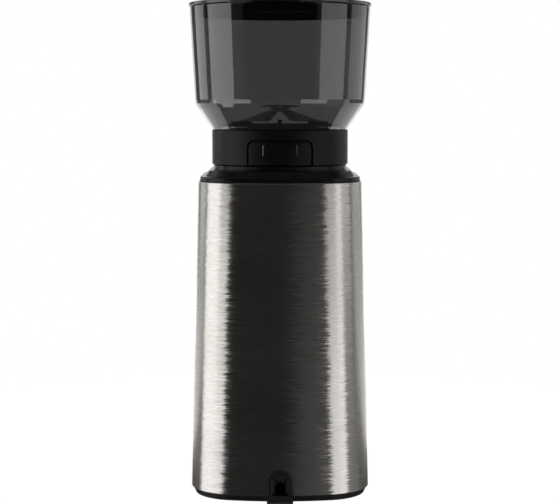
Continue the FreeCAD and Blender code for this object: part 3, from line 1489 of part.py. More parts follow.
def portafilter_cradle():
    """A fork that holds a filter holder under the nozzle."""
    top = cradle_bottom_z + cradle_plate
    half = cradle_half_width
    rear = front_face_y(cradle_bottom_z) + spout_root
    plate = box(-half, half, -cradle_reach, rear, cradle_bottom_z, top)
    rims = []
    for side in (-1, 1):
        x0 = min(side * half, side * (half - cradle_rim_width))
        rims.append(box(x0, x0 + cradle_rim_width, -cradle_reach, rear, top, top + cradle_rim_height))
    body = fuse([plate] + rims)
    gap = cradle_gap_half_width
    body = body.cut(box(-gap, gap, -cradle_reach - 1, cradle_gap_rear, 0, everywhere))
    body = round_upright_edges(body, cradle_tip_round, lambda x, y: y < -cradle_reach + 1
                               and min(abs(abs(x) - half), abs(abs(x) - gap)) < 0.1)
    return body.cut(body_block(steel_bottom_z, steel_top_z, 0))


def trigger_housing_rear():
    return front_face_y(trigger_z) + trigger_housing_depth


def trigger_ends():
    """Where the plunger's tip and root lie at rest."""
    tip = front_face_y(trigger_z) - trigger_proud
    return tip, tip + trigger_length


def trigger_housing():
    half_w = trigger_housing_half_width
    half_h = trigger_housing_half_height
    inner = body_block(steel_bottom_z, steel_top_z, panel_thickness + fixed_gap / 2)
    body = box(-half_w, half_w, -everywhere, trigger_housing_rear(), trigger_z - half_h, trigger_z + half_h)
    body = body.common(inner)
    bore_y = trigger_housing_rear() - trigger_housing_wall
    return body.cut(cylinder_y(trigger_collar_radius + sliding_gap, -everywhere, bore_y, 0, trigger_z))


def trigger_plunger():
    tip, root = trigger_ends()
    rod = cylinder_y(trigger_radius, tip, root, 0, trigger_z)
    front = front_face_y(trigger_z - trigger_collar_radius) + panel_thickness + sliding_gap
    stop_y = front + sliding_gap
    stop = cylinder_y(trigger_collar_radius, stop_y, stop_y + trigger_collar_thickness, 0, trigger_z)
    tip_edges = [edge for edge in rod.Edges if edge.BoundBox.YMax < axis_y + tip + 0.01]
    return rod.makeFillet(trigger_edge, tip_edges).fuse(stop).removeSplitter()


def coil_spring(coil_radius, start, direction, length, coils):
    """A wire spring from start along direction, wound of tilted half turns that run into each other."""
    rise = length / coils / 2
    halves = []
    for index in range(2 * coils):
        side = 1 if index % 2 == 0 else -1
        foot = FreeCAD.Vector(side * coil_radius, 0, index * rise)
        middle = FreeCAD.Vector(0, 0, (index + 0.5) * rise)
        axis = (foot - middle).cross(FreeCAD.Vector(0, side, 0))
        wire = Part.Wire([Part.makeCircle(spring_wire_radius, foot, FreeCAD.Vector(0, 1, 0))])
        halves.append(Part.Face(wire).revolve(middle, axis, 180))
    spring = halves[0].fuse(halves[1:])
    rotation = FreeCAD.Rotation(FreeCAD.Vector(0, 0, 1), direction)
    spring.Placement = FreeCAD.Placement(start, rotation)
    return spring


def trigger_spring():
    y0 = trigger_ends()[1] + spring_wire_radius + spring_seat_gap
    y1 = trigger_housing_rear() - trigger_housing_wall - spring_wire_radius - spring_seat_gap
    return coil_spring(trigger_spring_radius, vec(0, y0, trigger_z), FreeCAD.Vector(0, 1, 0), y1 - y0,
                       trigger_spring_coils)


def latch_spring():
    tube_face = collar_tube_radius
    flange_in = collar_radius - collar_wall - fixed_gap - latch_flange_thickness
    y0 = tube_face + spring_wire_radius + spring_seat_gap
    y1 = flange_in - spring_wire_radius - spring_seat_gap
    return coil_spring(latch_spring_radius, vec(0, y0, latch_post_z), FreeCAD.Vector(0, 1, 0), y1 - y0,
                       latch_spring_coils)


def switch_housing():
    """The rocker switch's bezel and box, set through the front panel."""
    half_w = rocker_half_width + sliding_gap + rocker_bezel
    half_h = rocker_half_height + sliding_gap + rocker_bezel
    outside = front_face_y(rocker_z)
    bezel = box(-half_w, half_w, outside - rocker_bezel_height, outside + 2, rocker_z - half_h,
                rocker_z + half_h)
    bezel = bezel.cut(body_block(steel_bottom_z, steel_top_z, 0))
    neck_w = half_w - rocker_bezel / 2 - fixed_gap
    neck_h = half_h - rocker_bezel / 2 - fixed_gap
    neck = box(-neck_w, neck_w, outside - rocker_bezel_height, outside + rocker_housing_depth,
               rocker_z - neck_h, rocker_z + neck_h)
    body = bezel.fuse(neck).removeSplitter()
    inner_w = rocker_half_width + sliding_gap
    inner_h = rocker_half_height + sliding_gap
    body = body.cut(box(-inner_w, inner_w, -everywhere, outside + rocker_housing_depth - switch_back_wall,
                        rocker_z - inner_h, rocker_z + inner_h))
    return body.cut(rocker_pin(rocker_pivot_radius + running_clearance, sliding_gap / 2))


def rocker_pivot_y():
    return front_face_y(rocker_z) + rocker_pivot_depth


def rocker_pin(radius, extra):
    """The rocker's cross pin, its ends in the housing's side walls."""
    half = rocker_half_width + sliding_gap + rocker_pivot_stub + extra
    start = vec(-half, rocker_pivot_y(), rocker_z)
    return Part.makeCylinder(radius, 2 * half, start, FreeCAD.Vector(1, 0, 0))


def rocker_button():
    """A two-way rocker: a shallow V front on a cross pin."""
    outside = front_face_y(rocker_z) - rocker_bezel_height
    pivot_y = rocker_pivot_y()
    half_h = rocker_half_height - rocker_swing_gap
    rise = half_h * math.tan(rocker_tilt)
    crest = outside - rocker_proud
    back = half_h - rocker_end_relief
    points = [(crest, rocker_z), (crest - rise, rocker_z + half_h)]
    points += [(pivot_y, rocker_z + back), (pivot_y + rocker_heel, rocker_z)]
    points += [(pivot_y, rocker_z - back), (crest - rise, rocker_z - half_h)]
    outline = Part.makePolygon([vec(-rocker_half_width, y, z) for y, z in points + points[:1]])
    body = Part.Face(outline).extrude(FreeCAD.Vector(2 * rocker_half_width, 0, 0))
    body = body.fuse(rocker_pin(rocker_pivot_radius, 0)).removeSplitter()
    body.rotate(vec(0, pivot_y, rocker_z), FreeCAD.Vector(1, 0, 0), -math.degrees(rocker_tilt))
    return body


def control_board():
    board = box(-board_half_width, board_half_width, board_y, board_y + board_thickness, board_bottom_z,
                board_top_z)
    face = board_y + board_thickness
    capacitor = cylinder_y(capacitor_radius, face, face + capacitor_depth, capacitor_x,
                           board_bottom_z + capacitor_rise)
    shapes = [board, capacitor]
    for left, width, rise, height, depth in (relay_block, heatsink_block, socket_block):
        z0 = board_bottom_z + rise
        shapes.append(box(left, left + width, face, face + depth, z0, z0 + height))
    return Part.makeCompound(shapes)


def board_rails():
    """Two slotted rails on the base plate that hold the board's lower edge."""
    rails = []
    for side in (-1, 1):
        x = side * (board_half_width - board_rail_inset)
        half = board_rail_half_width
        rail = box(x - half, x + half, board_y - board_rail_lip,
                   board_y + board_thickness + board_rail_lip, steel_bottom_z,
                   board_bottom_z + board_rail_grip)
        rails.append(rail.cut(box(x - half - 1, x + half + 1, board_y, board_y + board_thickness,
                                  board_bottom_z, board_top_z)))
    return Part.makeCompound(rails)


def terminal_block():
    top = steel_bottom_z + terminal_height
    body = box(terminal_left, terminal_left + terminal_length, terminal_front,
               terminal_front + terminal_width, steel_bottom_z, top)
    for index in range(terminal_holes):
        x = terminal_left + terminal_hole_inset + index * terminal_hole_pitch
        body = body.cut(cylinder(terminal_hole_radius, top - terminal_hole_depth, everywhere, x,
                                 terminal_front + terminal_width / 2))
    return body


PIECES = {
    "base_plate": base_plate,
    "rubber_feet": rubber_feet,
    "rear_foot": rear_foot,
    "base_screws": base_screws,
    "steel_shell": steel_shell,
    "front_panel": front_panel,
    "top_cap": top_cap,
    "cord_outlet": cord_outlet,
    "cable_clamp": cable_clamp,
    "terminal_block": terminal_block,
    "control_board": control_board,
    "board_rails": board_rails,
    "inner_frame": inner_frame,
    "gearbox_housing": gearbox_housing,
    "gearbox_cover": gearbox_cover_plate,
    "gearbox_screws": gearbox_screws,
    "shaft_bearings": shaft_bearings,
    "intermediate_axle": intermediate_axle,
    "grind_chamber": grind_chamber,
    "dust_seal": dust_seal,
    "chute_duct": chute_duct,
    "chute_spout": chute_spout,
    "portafilter_cradle": portafilter_cradle,
    "motor_can": motor_can,
    "motor_magnets": motor_magnets,
    "motor_end_cap": motor_end_cap,
    "motor_bushes": motor_bushes,
    "motor_screws": motor_screws,
    "brush_holders": brush_holders,
    "switch_housing": switch_housing,
    "trigger_housing": trigger_housing,
    "trigger_spring": trigger_spring,
    "adjustment_collar": adjustment_collar,
    "ring_clip": ring_clip,
    "latch_spring": latch_spring,
    "latch_button": latch_button,
    "burr_carrier": burr_carrier,
    "outer_burr": outer_burr,
    "hopper": hopper,
    "hopper_sleeve": hopper_sleeve,
    "hopper_seal": hopper_seal,
    "bean_guard": bean_guard,
    "hopper_lid": hopper_lid,
    "burr_shaft": burr_shaft,
    "output_gear": output_gear,
    "impeller": impeller,
    "inner_burr": inner_burr,
    "burr_screw": burr_screw,
    "intermediate_gear": intermediate_gear,
    "motor_shaft": motor_shaft,
    "motor_rotor": motor_rotor,
    "rotor_winding": rotor_winding,
    "commutator": commutator,
    "motor_pinion": motor_pinion,
    "cooling_fan": cooling_fan,
    "rocker_button": rocker_button,
    "trigger_plunger": trigger_plunger,
    "grounds_tray": grounds_tray,
}

os.makedirs("parts", exist_ok=True)
for name, make in PIECES.items():
    make().exportStep("parts/" + name + ".step")
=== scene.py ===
"""Looks of an upright burr coffee grinder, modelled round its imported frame."""
import json
import math

import bmesh
import bpy
from bpy.props import FloatProperty, FloatVectorProperty, PointerProperty
from bpy.types import Operator, Panel, PropertyGroup
from mathutils import Matrix, Vector


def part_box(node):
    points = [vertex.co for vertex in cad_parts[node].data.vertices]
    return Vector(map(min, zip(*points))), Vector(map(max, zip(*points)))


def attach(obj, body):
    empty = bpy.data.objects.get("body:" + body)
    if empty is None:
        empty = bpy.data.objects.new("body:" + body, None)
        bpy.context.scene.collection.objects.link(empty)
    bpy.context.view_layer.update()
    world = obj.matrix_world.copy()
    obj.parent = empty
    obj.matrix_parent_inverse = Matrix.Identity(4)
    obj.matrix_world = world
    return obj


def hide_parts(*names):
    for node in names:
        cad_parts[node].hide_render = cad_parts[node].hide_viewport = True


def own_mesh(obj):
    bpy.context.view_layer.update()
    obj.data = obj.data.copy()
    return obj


bl_info = {
    "name": "Burr grinder looks",
    "version": (1, 0, 0),
    "blender": (4, 5, 0),
    "location": "View3D > Sidebar > Grinder",
    "description": "Builds the visible pieces and finishes of a burr coffee grinder on its frame",
    "category": "Object",
}

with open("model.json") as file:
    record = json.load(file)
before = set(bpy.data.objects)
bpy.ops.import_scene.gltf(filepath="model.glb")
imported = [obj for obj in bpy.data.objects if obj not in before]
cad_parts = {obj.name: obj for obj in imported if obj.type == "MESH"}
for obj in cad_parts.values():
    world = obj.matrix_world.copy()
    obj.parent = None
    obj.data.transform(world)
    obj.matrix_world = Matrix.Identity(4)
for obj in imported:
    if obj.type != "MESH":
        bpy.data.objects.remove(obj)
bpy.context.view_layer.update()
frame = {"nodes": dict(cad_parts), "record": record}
MM = 0.001
SHAFT_LOW, SHAFT_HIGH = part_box("burr_shaft")
AXIS = Vector(((SHAFT_LOW.x + SHAFT_HIGH.x) / 2, (SHAFT_LOW.y + SHAFT_HIGH.y) / 2, 0))
LATHE_STEPS = 160
SLEEVE_STEPS = 200
COLLAR_STEPS = 240
HOPPER_STEPS = 256
LATCH_STEPS = 360
SHARP_ANGLE = math.radians(38)
BEVEL_ANGLE = math.radians(40)
FLAT_ANGLE = math.radians(0.6)
MERGE_DISTANCE = 2e-6

# A face whose normal passes these shares of X and Z gets its piece's second finish, which paints light or
# shade:
# a glossier, lighter black on the latch pad's side faces for painted highlights, and black on the bean
# guard's downward faces for painted shade
PAD_HIGHLIGHT_FACING = 0.45
GUARD_SHADE_FACING = -0.3

# How far tools and blanks reach past the finished shape, and where the prisms that cut or shape
# the collar's front start and end, from the axis towards the camera
CUT_MARGIN = 5 * MM
CUT_NEAR = 20 * MM
CUT_FAR = 80 * MM
FIT_GAP = 0.2 * MM

# Sizes that the frame's boxes don't give. Those of turned pieces, and the start and end of the
# guard's legs, are from the grinding axis. GUIDE_RADIUS is the guide hole's own.
LIP_HEIGHT = 4.1 * MM
SHOULDER_HEIGHT = 4.6 * MM
SHOULDER_INSET = 8.0 * MM
NECK_RADIUS = 51.7 * MM
NECK_BORE = 46.3 * MM
NOTCH_HALF = 9.6 * MM
NOTCH_SPRING = 12.4 * MM
NOTCH_RISE = 7.0 * MM
COLLAR_BORE = 44.0 * MM
COLLAR_TUBE = 46.0 * MM
COLLAR_WALL = 2.4 * MM
COLLAR_PLATE = 2.6 * MM
GUIDE_X = 18 * MM
GUIDE_RISE = 9 * MM
GUIDE_RADIUS = 1.9 * MM
OPENING_HALF = 24.7 * MM
OPENING_HEIGHT = 19.5 * MM
OPENING_CORNER = 5.6 * MM
OPENING_FLARE = 0.8 * MM
OPENING_BACK = 47.3 * MM
LATCH_HALF = 23.6 * MM
LATCH_HEIGHT = 18.4 * MM
LATCH_CORNER = 4.5 * MM
LATCH_EDGE = 0.7 * MM
PAD_HALF = 13.1 * MM
PAD_RISE = 7.4 * MM
PAD_HEIGHT = 8.8 * MM
PAD_CORNER = 1.5 * MM
PAD_PROUD = 1.2 * MM
PAD_EDGE = 0.9 * MM
SLEEVE_RADIUS = 43.7 * MM
SLEEVE_WALL = 4.4 * MM
HOPPER_WALL = 2.2 * MM
BEND_RADIUS = 65.56 * MM
FLARE_RADIUS = 66.2 * MM
PLUG_RADIUS = 67.2 * MM
PLUG_WALL = 2.2 * MM
GUARD_HEIGHT = 10.8 * MM
GUARD_RADIUS = 30 * MM
GABLE_HALF = 10.5 * MM
GABLE_TIP_HALF = 1.2 * MM
GABLE_HEIGHT = 7.0 * MM
LEG_HALF = 1.8 * MM
LEG_START = 26 * MM
LEG_END = 41.8 * MM


# ---- settings a user would change ----

class GrinderSizes(PropertyGroup):
    """Sizes of the modelled pieces, in metres."""

    rear_bow: FloatProperty(
        name="Rear bow", description="Radius of the shell's gently bowed rear face",
        default=0.200, unit="LENGTH")
    rear_corner: FloatProperty(
        name="Rear corner", description="Radius of the shell's rear corners",
        default=0.037, unit="LENGTH")
    front_corner: FloatProperty(
        name="Front corner", description="Radius of the shell's front corners",
        default=0.015, unit="LENGTH")
    sheet: FloatProperty(
        name="Sheet", description="Thickness of the steel sheet",
        default=0.001, unit="LENGTH")
    hem: FloatProperty(
        name="Hem", description="Rounding of the steel sheet's edges",
        default=0.0004, unit="LENGTH")
    moulded_edge: FloatProperty(
        name="Moulded edge", description="Rounding of moulded plastic edges",
        default=0.0005, unit="LENGTH")
    glass_edge: FloatProperty(
        name="Hopper edge", description="Rounding of the hopper's rim",
        default=0.0008, unit="LENGTH")


class GrinderColours(PropertyGroup):
    """Base colours of the finishes that show most."""

    steel: FloatVectorProperty(
        name="Steel", description="Brushed steel of the shell", subtype="COLOR", size=3,
        default=(0.455, 0.447, 0.436))
    black: FloatVectorProperty(
        name="Black", description="Black mouldings", subtype="COLOR", size=3,
        default=(0.008, 0.008, 0.009))
    smoke: FloatVectorProperty(
        name="Smoke", description="Tint of one wall of the hopper", subtype="COLOR", size=3,
        default=(0.20, 0.20, 0.205))


class StudioSettings(PropertyGroup):
    """Camera and light."""

    distance: FloatProperty(
        name="Distance", description="From the grinding axis to the camera",
        default=1.252, unit="LENGTH")
    height: FloatProperty(
        name="Height", description="Height of the camera over the table",
        default=0.302, unit="LENGTH")
    pitch: FloatProperty(
        name="Pitch", description="How far the camera looks down",
        default=math.radians(5.3026), subtype="ANGLE")
    lens: FloatProperty(
        name="Lens", description="Focal length in millimetres", default=102.86)
    card: FloatProperty(
        name="Card", description="Brightness of the dark card that the shell's middle reflects",
        default=0.022)


def sizes():
    return bpy.context.scene.grinder_sizes


def colours():
    return bpy.context.scene.grinder_colours


def studio():
    return bpy.context.scene.grinder_studio


# ---- finishes ----

class Finish:
    """A procedural material: its shader, and the nodes that feed it."""

    def __init__(self, name, colour, roughness, metallic=0.0, **constants):
        self.material = bpy.data.materials.new(name)
        self.material.use_nodes = True
        self.nodes = self.material.node_tree.nodes
        self.links = self.material.node_tree.links
        self.shader = self.nodes["Principled BSDF"]
        self.shader.inputs["Base Color"].default_value = (*colour, 1.0)
        self.shader.inputs["Roughness"].default_value = roughness
        self.shader.inputs["Metallic"].default_value = metallic
        for socket, value in constants.items():
            self.shader.inputs[socket.replace("_", " ")].default_value = value
        self.coordinates = self.nodes.new("ShaderNodeTexCoord")
        self.height = None

    def noise(self, grain, detail=3.0, seed=0.0):
        """Noise whose grains have the given size along X, Y and Z, in metres."""
        place = self.nodes.new("ShaderNodeMapping")
        place.inputs["Scale"].default_value = [1.0 / size for size in grain]
        place.inputs["Location"].default_value = (seed, seed * 0.7, seed * 1.3)
        self.links.new(self.coordinates.outputs["Object"], place.inputs["Vector"])
        texture = self.nodes.new("ShaderNodeTexNoise")
        texture.inputs["Scale"].default_value = 1.0
        texture.inputs["Detail"].default_value = detail
        self.links.new(place.outputs["Vector"], texture.inputs["Vector"])
        return texture.outputs["Fac"]

    def spread(self, value, low, high, out_low=0.0, out_high=1.0):
        """Stretch a value's range from low..high to out_low..out_high."""
        node = self.nodes.new("ShaderNodeMapRange")
        for index, number in enumerate((low, high, out_low, out_high), start=1):
            node.inputs[index].default_value = number
        self.links.new(value, node.inputs[0])
        return node.outputs[0]

    def colour_between(self, value, dark, light, low=0.35, high=0.65):
        """Base colour from dark to light as the value goes from low to high."""
        ramp = self.nodes.new("ShaderNodeValToRGB")
        ramp.color_ramp.elements[0].position = low
        ramp.color_ramp.elements[0].color = (*dark, 1.0)
        ramp.color_ramp.elements[1].position = high
        ramp.color_ramp.elements[1].color = (*light, 1.0)
        self.links.new(value, ramp.inputs["Fac"])
        self.links.new(ramp.outputs["Color"], self.shader.inputs["Base Color"])

    def roughness_between(self, value, low, high):
        self.links.new(self.spread(value, 0.3, 0.7, low, high), self.shader.inputs["Roughness"])

    def relief(self, value, depth, strength=1.0):
        """Bump of the given depth in metres, on top of any bump before it."""
        bump = self.nodes.new("ShaderNodeBump")
        bump.inputs["Distance"].default_value = depth
        bump.inputs["Strength"].default_value = strength
        self.links.new(value, bump.inputs["Height"])
        if self.height is not None:
            self.links.new(self.height, bump.inputs["Normal"])
        self.height = bump.outputs["Normal"]
        self.links.new(self.height, self.shader.inputs["Normal"])

    def sideways_waver(self, value, amount):
        """Tilt the surface a little about the upright, as brushing marks do at their ends."""
        geometry = self.nodes.new("ShaderNodeNewGeometry")
        across = self.nodes.new("ShaderNodeVectorMath")
        across.operation = "CROSS_PRODUCT"
        across.inputs[1].default_value = (0, 0, 1)
        self.links.new(geometry.outputs["Normal"], across.inputs[0])
        tilt = self.nodes.new("ShaderNodeVectorMath")
        tilt.operation = "SCALE"
        self.links.new(across.outputs["Vector"], tilt.inputs[0])
        self.links.new(self.spread(value, 0.25, 0.75, -amount, amount), tilt.inputs["Scale"])
        total = self.nodes.new("ShaderNodeVectorMath")
        total.operation = "ADD"
        self.links.new(geometry.outputs["Normal"], total.inputs[0])
        self.links.new(tilt.outputs["Vector"], total.inputs[1])
        unit = self.nodes.new("ShaderNodeVectorMath")
        unit.operation = "NORMALIZE"
        self.links.new(total.outputs["Vector"], unit.inputs[0])
        self.height = unit.outputs["Vector"]


def scaled(colour, factor):
    return tuple(channel * factor for channel in colour)


def brushed_steel():
    """Steel sheet brushed level all round, almost neutral and a little warmer in its dark marks."""
    steel = tuple(colours().steel)
    finish = Finish("brushed_steel", steel, 0.3, 1.0, Anisotropic=0.85, Anisotropic_Rotation=0.25)
    long_marks = finish.noise((0.012, 0.012, 0.0008), 2.0, 3.0)
    short_marks = finish.noise((0.005, 0.005, 0.0005), 2.0, 9.0)
    patches = finish.noise((0.09, 0.09, 0.05), 2.0, 17.0)
    finish.sideways_waver(long_marks, 0.055)
    finish.relief(short_marks, 0.00004)
    finish.relief(long_marks, 0.00005)
    mix = finish.nodes.new("ShaderNodeMath")
    mix.operation = "MULTIPLY_ADD"
    mix.inputs[1].default_value = 0.5
    finish.links.new(short_marks, mix.inputs[0])
    finish.links.new(finish.spread(long_marks, 0.0, 1.0, 0.0, 0.5), mix.inputs[2])
    warm = (steel[0] * 0.84, steel[1] * 0.815, steel[2] * 0.775)
    finish.colour_between(mix.outputs[0], warm, scaled(steel, 1.12), 0.36, 0.66)
    finish.roughness_between(patches, 0.27, 0.34)
    return finish.material


def moulded_black(name, tone, roughness, grain, depth, coat=0.0, shine=0.5):
    """Black moulded plastic with a fine eroded surface and faint handling marks."""
    black = scaled(tuple(colours().black), tone)
    finish = Finish(name, black, roughness, Coat_Weight=coat, Coat_Roughness=0.06,
                    Specular_IOR_Level=shine)
    fine = finish.noise((grain, grain, grain), 2.0, 5.0)
    wiped = finish.noise((0.03, 0.03, 0.012), 3.0, 11.0)
    finish.colour_between(wiped, black, scaled(black, 1.35))
    finish.roughness_between(wiped, roughness * 0.9, roughness * 1.12)
    finish.relief(fine, depth)
    return finish.material


def clear_plastic(name, tint, roughness, haze):
    """Transparent moulded plastic, with the faintest ripple of its mould."""
    finish = Finish(name, tint, roughness, Transmission_Weight=1.0, IOR=1.55)
    ripple = finish.noise((0.045, 0.045, 0.03), 1.0, 2.0)
    dust = finish.noise((0.004, 0.004, 0.004), 3.0, 8.0)
    finish.colour_between(dust, scaled(tint, 0.96), tint)
    finish.roughness_between(dust, roughness, roughness + haze)
    finish.relief(ripple, 0.00004)
    return finish.material


def soft_rubber(name, colour):
    finish = Finish(name, colour, 0.75)
    bloom = finish.noise((0.006, 0.006, 0.006), 4.0)
    finish.colour_between(bloom, scaled(colour, 0.8), scaled(colour, 1.3))
    finish.relief(finish.noise((0.0006, 0.0006, 0.0006), 2.0, 4.0), 0.00004)
    return finish.material


def metal(name, colour, roughness, grain, depth, marks=(1.0, 1.0, 1.0)):
    """Plain metal whose marks may be stretched along an axis."""
    finish = Finish(name, colour, roughness, 1.0)
    size = [grain * stretch for stretch in marks]
    texture = finish.noise(size, 3.0, 6.0)
    cloud = finish.noise((0.02, 0.02, 0.02), 3.0, 12.0)
    finish.colour_between(cloud, scaled(colour, 0.82), scaled(colour, 1.08))
    finish.roughness_between(texture, roughness * 0.8, roughness * 1.2)
    finish.relief(texture, depth)
    return finish.material


def plain_plastic(name, colour, roughness, subsurface=0.0):
    """Uncoated engineering plastic with flow marks."""
    finish = Finish(name, colour, roughness, Subsurface_Weight=subsurface, Subsurface_Scale=0.002)
    flow = finish.noise((0.012, 0.012, 0.03), 3.0, 7.0)
    finish.colour_between(flow, scaled(colour, 0.88), scaled(colour, 1.05))
    finish.roughness_between(flow, roughness * 0.85, roughness * 1.15)
    finish.relief(finish.noise((0.0005, 0.0005, 0.0005), 2.0), 0.00002)
    return finish.material


def circuit_board():
    """Green lacquer over faint copper tracks."""
    finish = Finish("circuit_board", (0.02, 0.16, 0.06), 0.35, Coat_Weight=0.4)
    tracks = finish.nodes.new("ShaderNodeTexBrick")
    tracks.inputs["Scale"].default_value = 260.0
    tracks.inputs["Mortar Size"].default_value = 0.012
    tracks.inputs["Color1"].default_value = (0.015, 0.13, 0.05, 1)
    tracks.inputs["Color2"].default_value = (0.02, 0.18, 0.07, 1)
    tracks.inputs["Mortar"].default_value = (0.10, 0.30, 0.12, 1)
    finish.links.new(finish.coordinates.outputs["Object"], tracks.inputs["Vector"])
    finish.links.new(tracks.outputs["Color"], finish.shader.inputs["Base Color"])
    finish.relief(tracks.outputs["Fac"], 0.00003)
    return finish.material


def pressed_felt():
    finish = Finish("felt", (0.45, 0.43, 0.38), 0.95, Sheen_Weight=0.4)
    fibres = finish.noise((0.0007, 0.0007, 0.0003), 5.0)
    finish.colour_between(fibres, (0.30, 0.28, 0.24), (0.55, 0.53, 0.48))
    finish.relief(fibres, 0.0002)
    return finish.material


def wound_copper(name, colour, pitch):
    """Enamelled copper, ribbed by its turns of wire."""
    finish = Finish(name, colour, 0.3, 1.0, Coat_Weight=0.5, Coat_Roughness=0.2)
    turns = finish.nodes.new("ShaderNodeTexWave")
    turns.bands_direction = "Z"
    turns.inputs["Scale"].default_value = math.pi / pitch / 10
    turns.inputs["Distortion"].default_value = 1.5
    finish.links.new(finish.coordinates.outputs["Object"], turns.inputs["Vector"])
    # Darker where the relief is low, in the grooves between the turns: painted shade
    finish.colour_between(turns.outputs["Fac"], scaled(colour, 0.55), colour, 0.1, 0.8)
    finish.relief(turns.outputs["Fac"], 0.0002)
    return finish.material


FINISHES = {}


def make_finishes():
    """Every finish that the record's material slots name."""
    FINISHES["brushed_steel"] = brushed_steel()
    FINISHES["satin_black"] = moulded_black("satin_black", 1.4, 0.42, 0.0006, 0.00002)
    FINISHES["collar_black"] = moulded_black("collar_black", 0.6, 0.38, 0.0005, 0.000012, shine=0.11)
    FINISHES["gloss_black"] = moulded_black("gloss_black", 0.7, 0.25, 0.004, 0.000006, shine=0.13)
    FINISHES["lid_black"] = moulded_black("lid_black", 0.8, 0.16, 0.003, 0.000006, 0.2)
    # On the latch pad's side faces this finish stands for a painted highlight
    FINISHES["polished_black"] = moulded_black("polished_black", 1.0, 0.2, 0.003, 0.000004, 1.0, 1.0)
    FINISHES["smoked_clear"] = clear_plastic("smoked_clear", tuple(colours().smoke), 0.0, 0.03)
    FINISHES["frosted_clear"] = plain_plastic("frosted_clear", (0.82, 0.82, 0.83), 0.3)
    FINISHES["rubber"] = soft_rubber("rubber", (0.014, 0.014, 0.014))
    FINISHES["grey_rubber"] = soft_rubber("grey_rubber", (0.10, 0.10, 0.10))
    FINISHES["zinc_steel"] = metal("zinc_steel", (0.50, 0.51, 0.53), 0.38, 0.004, 0.00003)
    FINISHES["bearing_steel"] = metal("bearing_steel", (0.56, 0.56, 0.58), 0.2, 0.003, 0.00001)
    FINISHES["burr_steel"] = metal("burr_steel", (0.42, 0.42, 0.43), 0.26, 0.0012, 0.00003,
                                   (1.0, 1.0, 0.3))
    FINISHES["cast_aluminium"] = metal("cast_aluminium", (0.55, 0.56, 0.58), 0.5, 0.0009, 0.00008)
    FINISHES["white_nylon"] = plain_plastic("white_nylon", (0.78, 0.76, 0.70), 0.45, 0.15)
    FINISHES["grey_nylon"] = plain_plastic("grey_nylon", (0.10, 0.105, 0.115), 0.5)
    FINISHES["circuit_board"] = circuit_board()
    FINISHES["felt"] = pressed_felt()
    FINISHES["magnet_iron"] = metal("magnet_iron", (0.10, 0.10, 0.105), 0.6, 0.0008, 0.00008)
    FINISHES["bronze"] = metal("bronze", (0.58, 0.36, 0.16), 0.4, 0.0007, 0.00005)
    FINISHES["copper"] = wound_copper("copper", (0.72, 0.30, 0.14), 0.0006)


# ---- meshes ----

def rounded(corners, steps=4):
    """A line through corners (a, b, radius), each corner turned into an arc; it may be closed or open."""
    points = []
    count = len(corners)
    for index, (a, b, radius) in enumerate(corners):
        corner = Vector((a, b))
        if radius == 0:
            points.append(corner)
            continue
        back = (Vector(corners[index - 1][:2]) - corner).normalized()
        onward = (Vector(corners[(index + 1) % count][:2]) - corner).normalized()
        half_angle = back.angle(onward) / 2
        centre = corner + (back + onward).normalized() * (radius / math.sin(half_angle))
        start = corner + back * (radius / math.tan(half_angle)) - centre
        end = corner + onward * (radius / math.tan(half_angle)) - centre
        for step in range(steps + 1):
            points.append(centre + start.slerp(end, step / steps).normalized() * radius)
    return points


def circle(radius, steps=LATHE_STEPS):
    """A ring about the grinding axis; the outline of a turned piece."""
    return [Vector((AXIS.x + radius * math.cos(2 * math.pi * step / steps),
                    AXIS.y + radius * math.sin(2 * math.pi * step / steps))) for step in range(steps)]


def skin(rings, closed=True, looped=True):
    """A mesh through rings of points: each ring joined to the next, and the last to the first if looped."""
    mesh = bmesh.new()
    rows = [[mesh.verts.new(point) for point in ring] for ring in rings]
    columns = len(rings[0])
    last_row = len(rows) if looped else len(rows) - 1
    last_column = columns if closed else columns - 1
    for row in range(last_row):
        here = rows[row]
        there = rows[(row + 1) % len(rows)]
        for column in range(last_column):
            after = (column + 1) % columns
            mesh.faces.new((here[column], here[after], there[after], there[column]))
    if not closed:
        mesh.faces.new([row[0] for row in rows])
        mesh.faces.new([row[-1] for row in reversed(rows)])
    if not looped:
        mesh.faces.new(rows[0])
        mesh.faces.new(list(reversed(rows[-1])))
    bmesh.ops.remove_doubles(mesh, verts=mesh.verts, dist=1e-6)
    bmesh.ops.dissolve_degenerate(mesh, edges=mesh.edges, dist=1e-7)
    bmesh.ops.recalc_face_normals(mesh, faces=mesh.faces)
    return mesh


def object_from(mesh, name):
    data = bpy.data.meshes.new(name)
    mesh.to_mesh(data)
    mesh.free()
    piece = bpy.data.objects.new(name, data)
    bpy.context.scene.collection.objects.link(piece)
    return piece


def apply_modifiers(piece):
    """Turn the piece's modifiers into plain mesh."""
    graph = bpy.context.evaluated_depsgraph_get()
    data = bpy.data.meshes.new_from_object(piece.evaluated_get(graph))
    data.name = piece.name
    piece.modifiers.clear()
    piece.data = data


def combine(piece, tool, operation):
    """Cut, meet or join a piece with a tool piece, which is used up."""
    modifier = piece.modifiers.new(operation, "BOOLEAN")
    modifier.operation = operation
    modifier.solver = "EXACT"
    modifier.object = tool
    bpy.context.view_layer.update()
    apply_modifiers(piece)
    bpy.data.objects.remove(tool)


def smooth(piece):
    """Shade smooth, with creases at sharp edges and flat faces kept flat."""
    for polygon in piece.data.polygons:
        polygon.use_smooth = True
    piece.data.set_sharp_from_angle(angle=SHARP_ANGLE)
    modifier = piece.modifiers.new("flat faces", "WEIGHTED_NORMAL")
    modifier.keep_sharp = True
    apply_modifiers(piece)


def dress(piece, slot, body, *nodes):
    """Give a finished piece its finish, its body and the frame nodes that it stands for."""
    smooth(piece)
    piece.data.materials.clear()
    piece.data.materials.append(FINISHES[slot])
    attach(piece, body)
    if nodes:
        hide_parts(*nodes)
    return piece


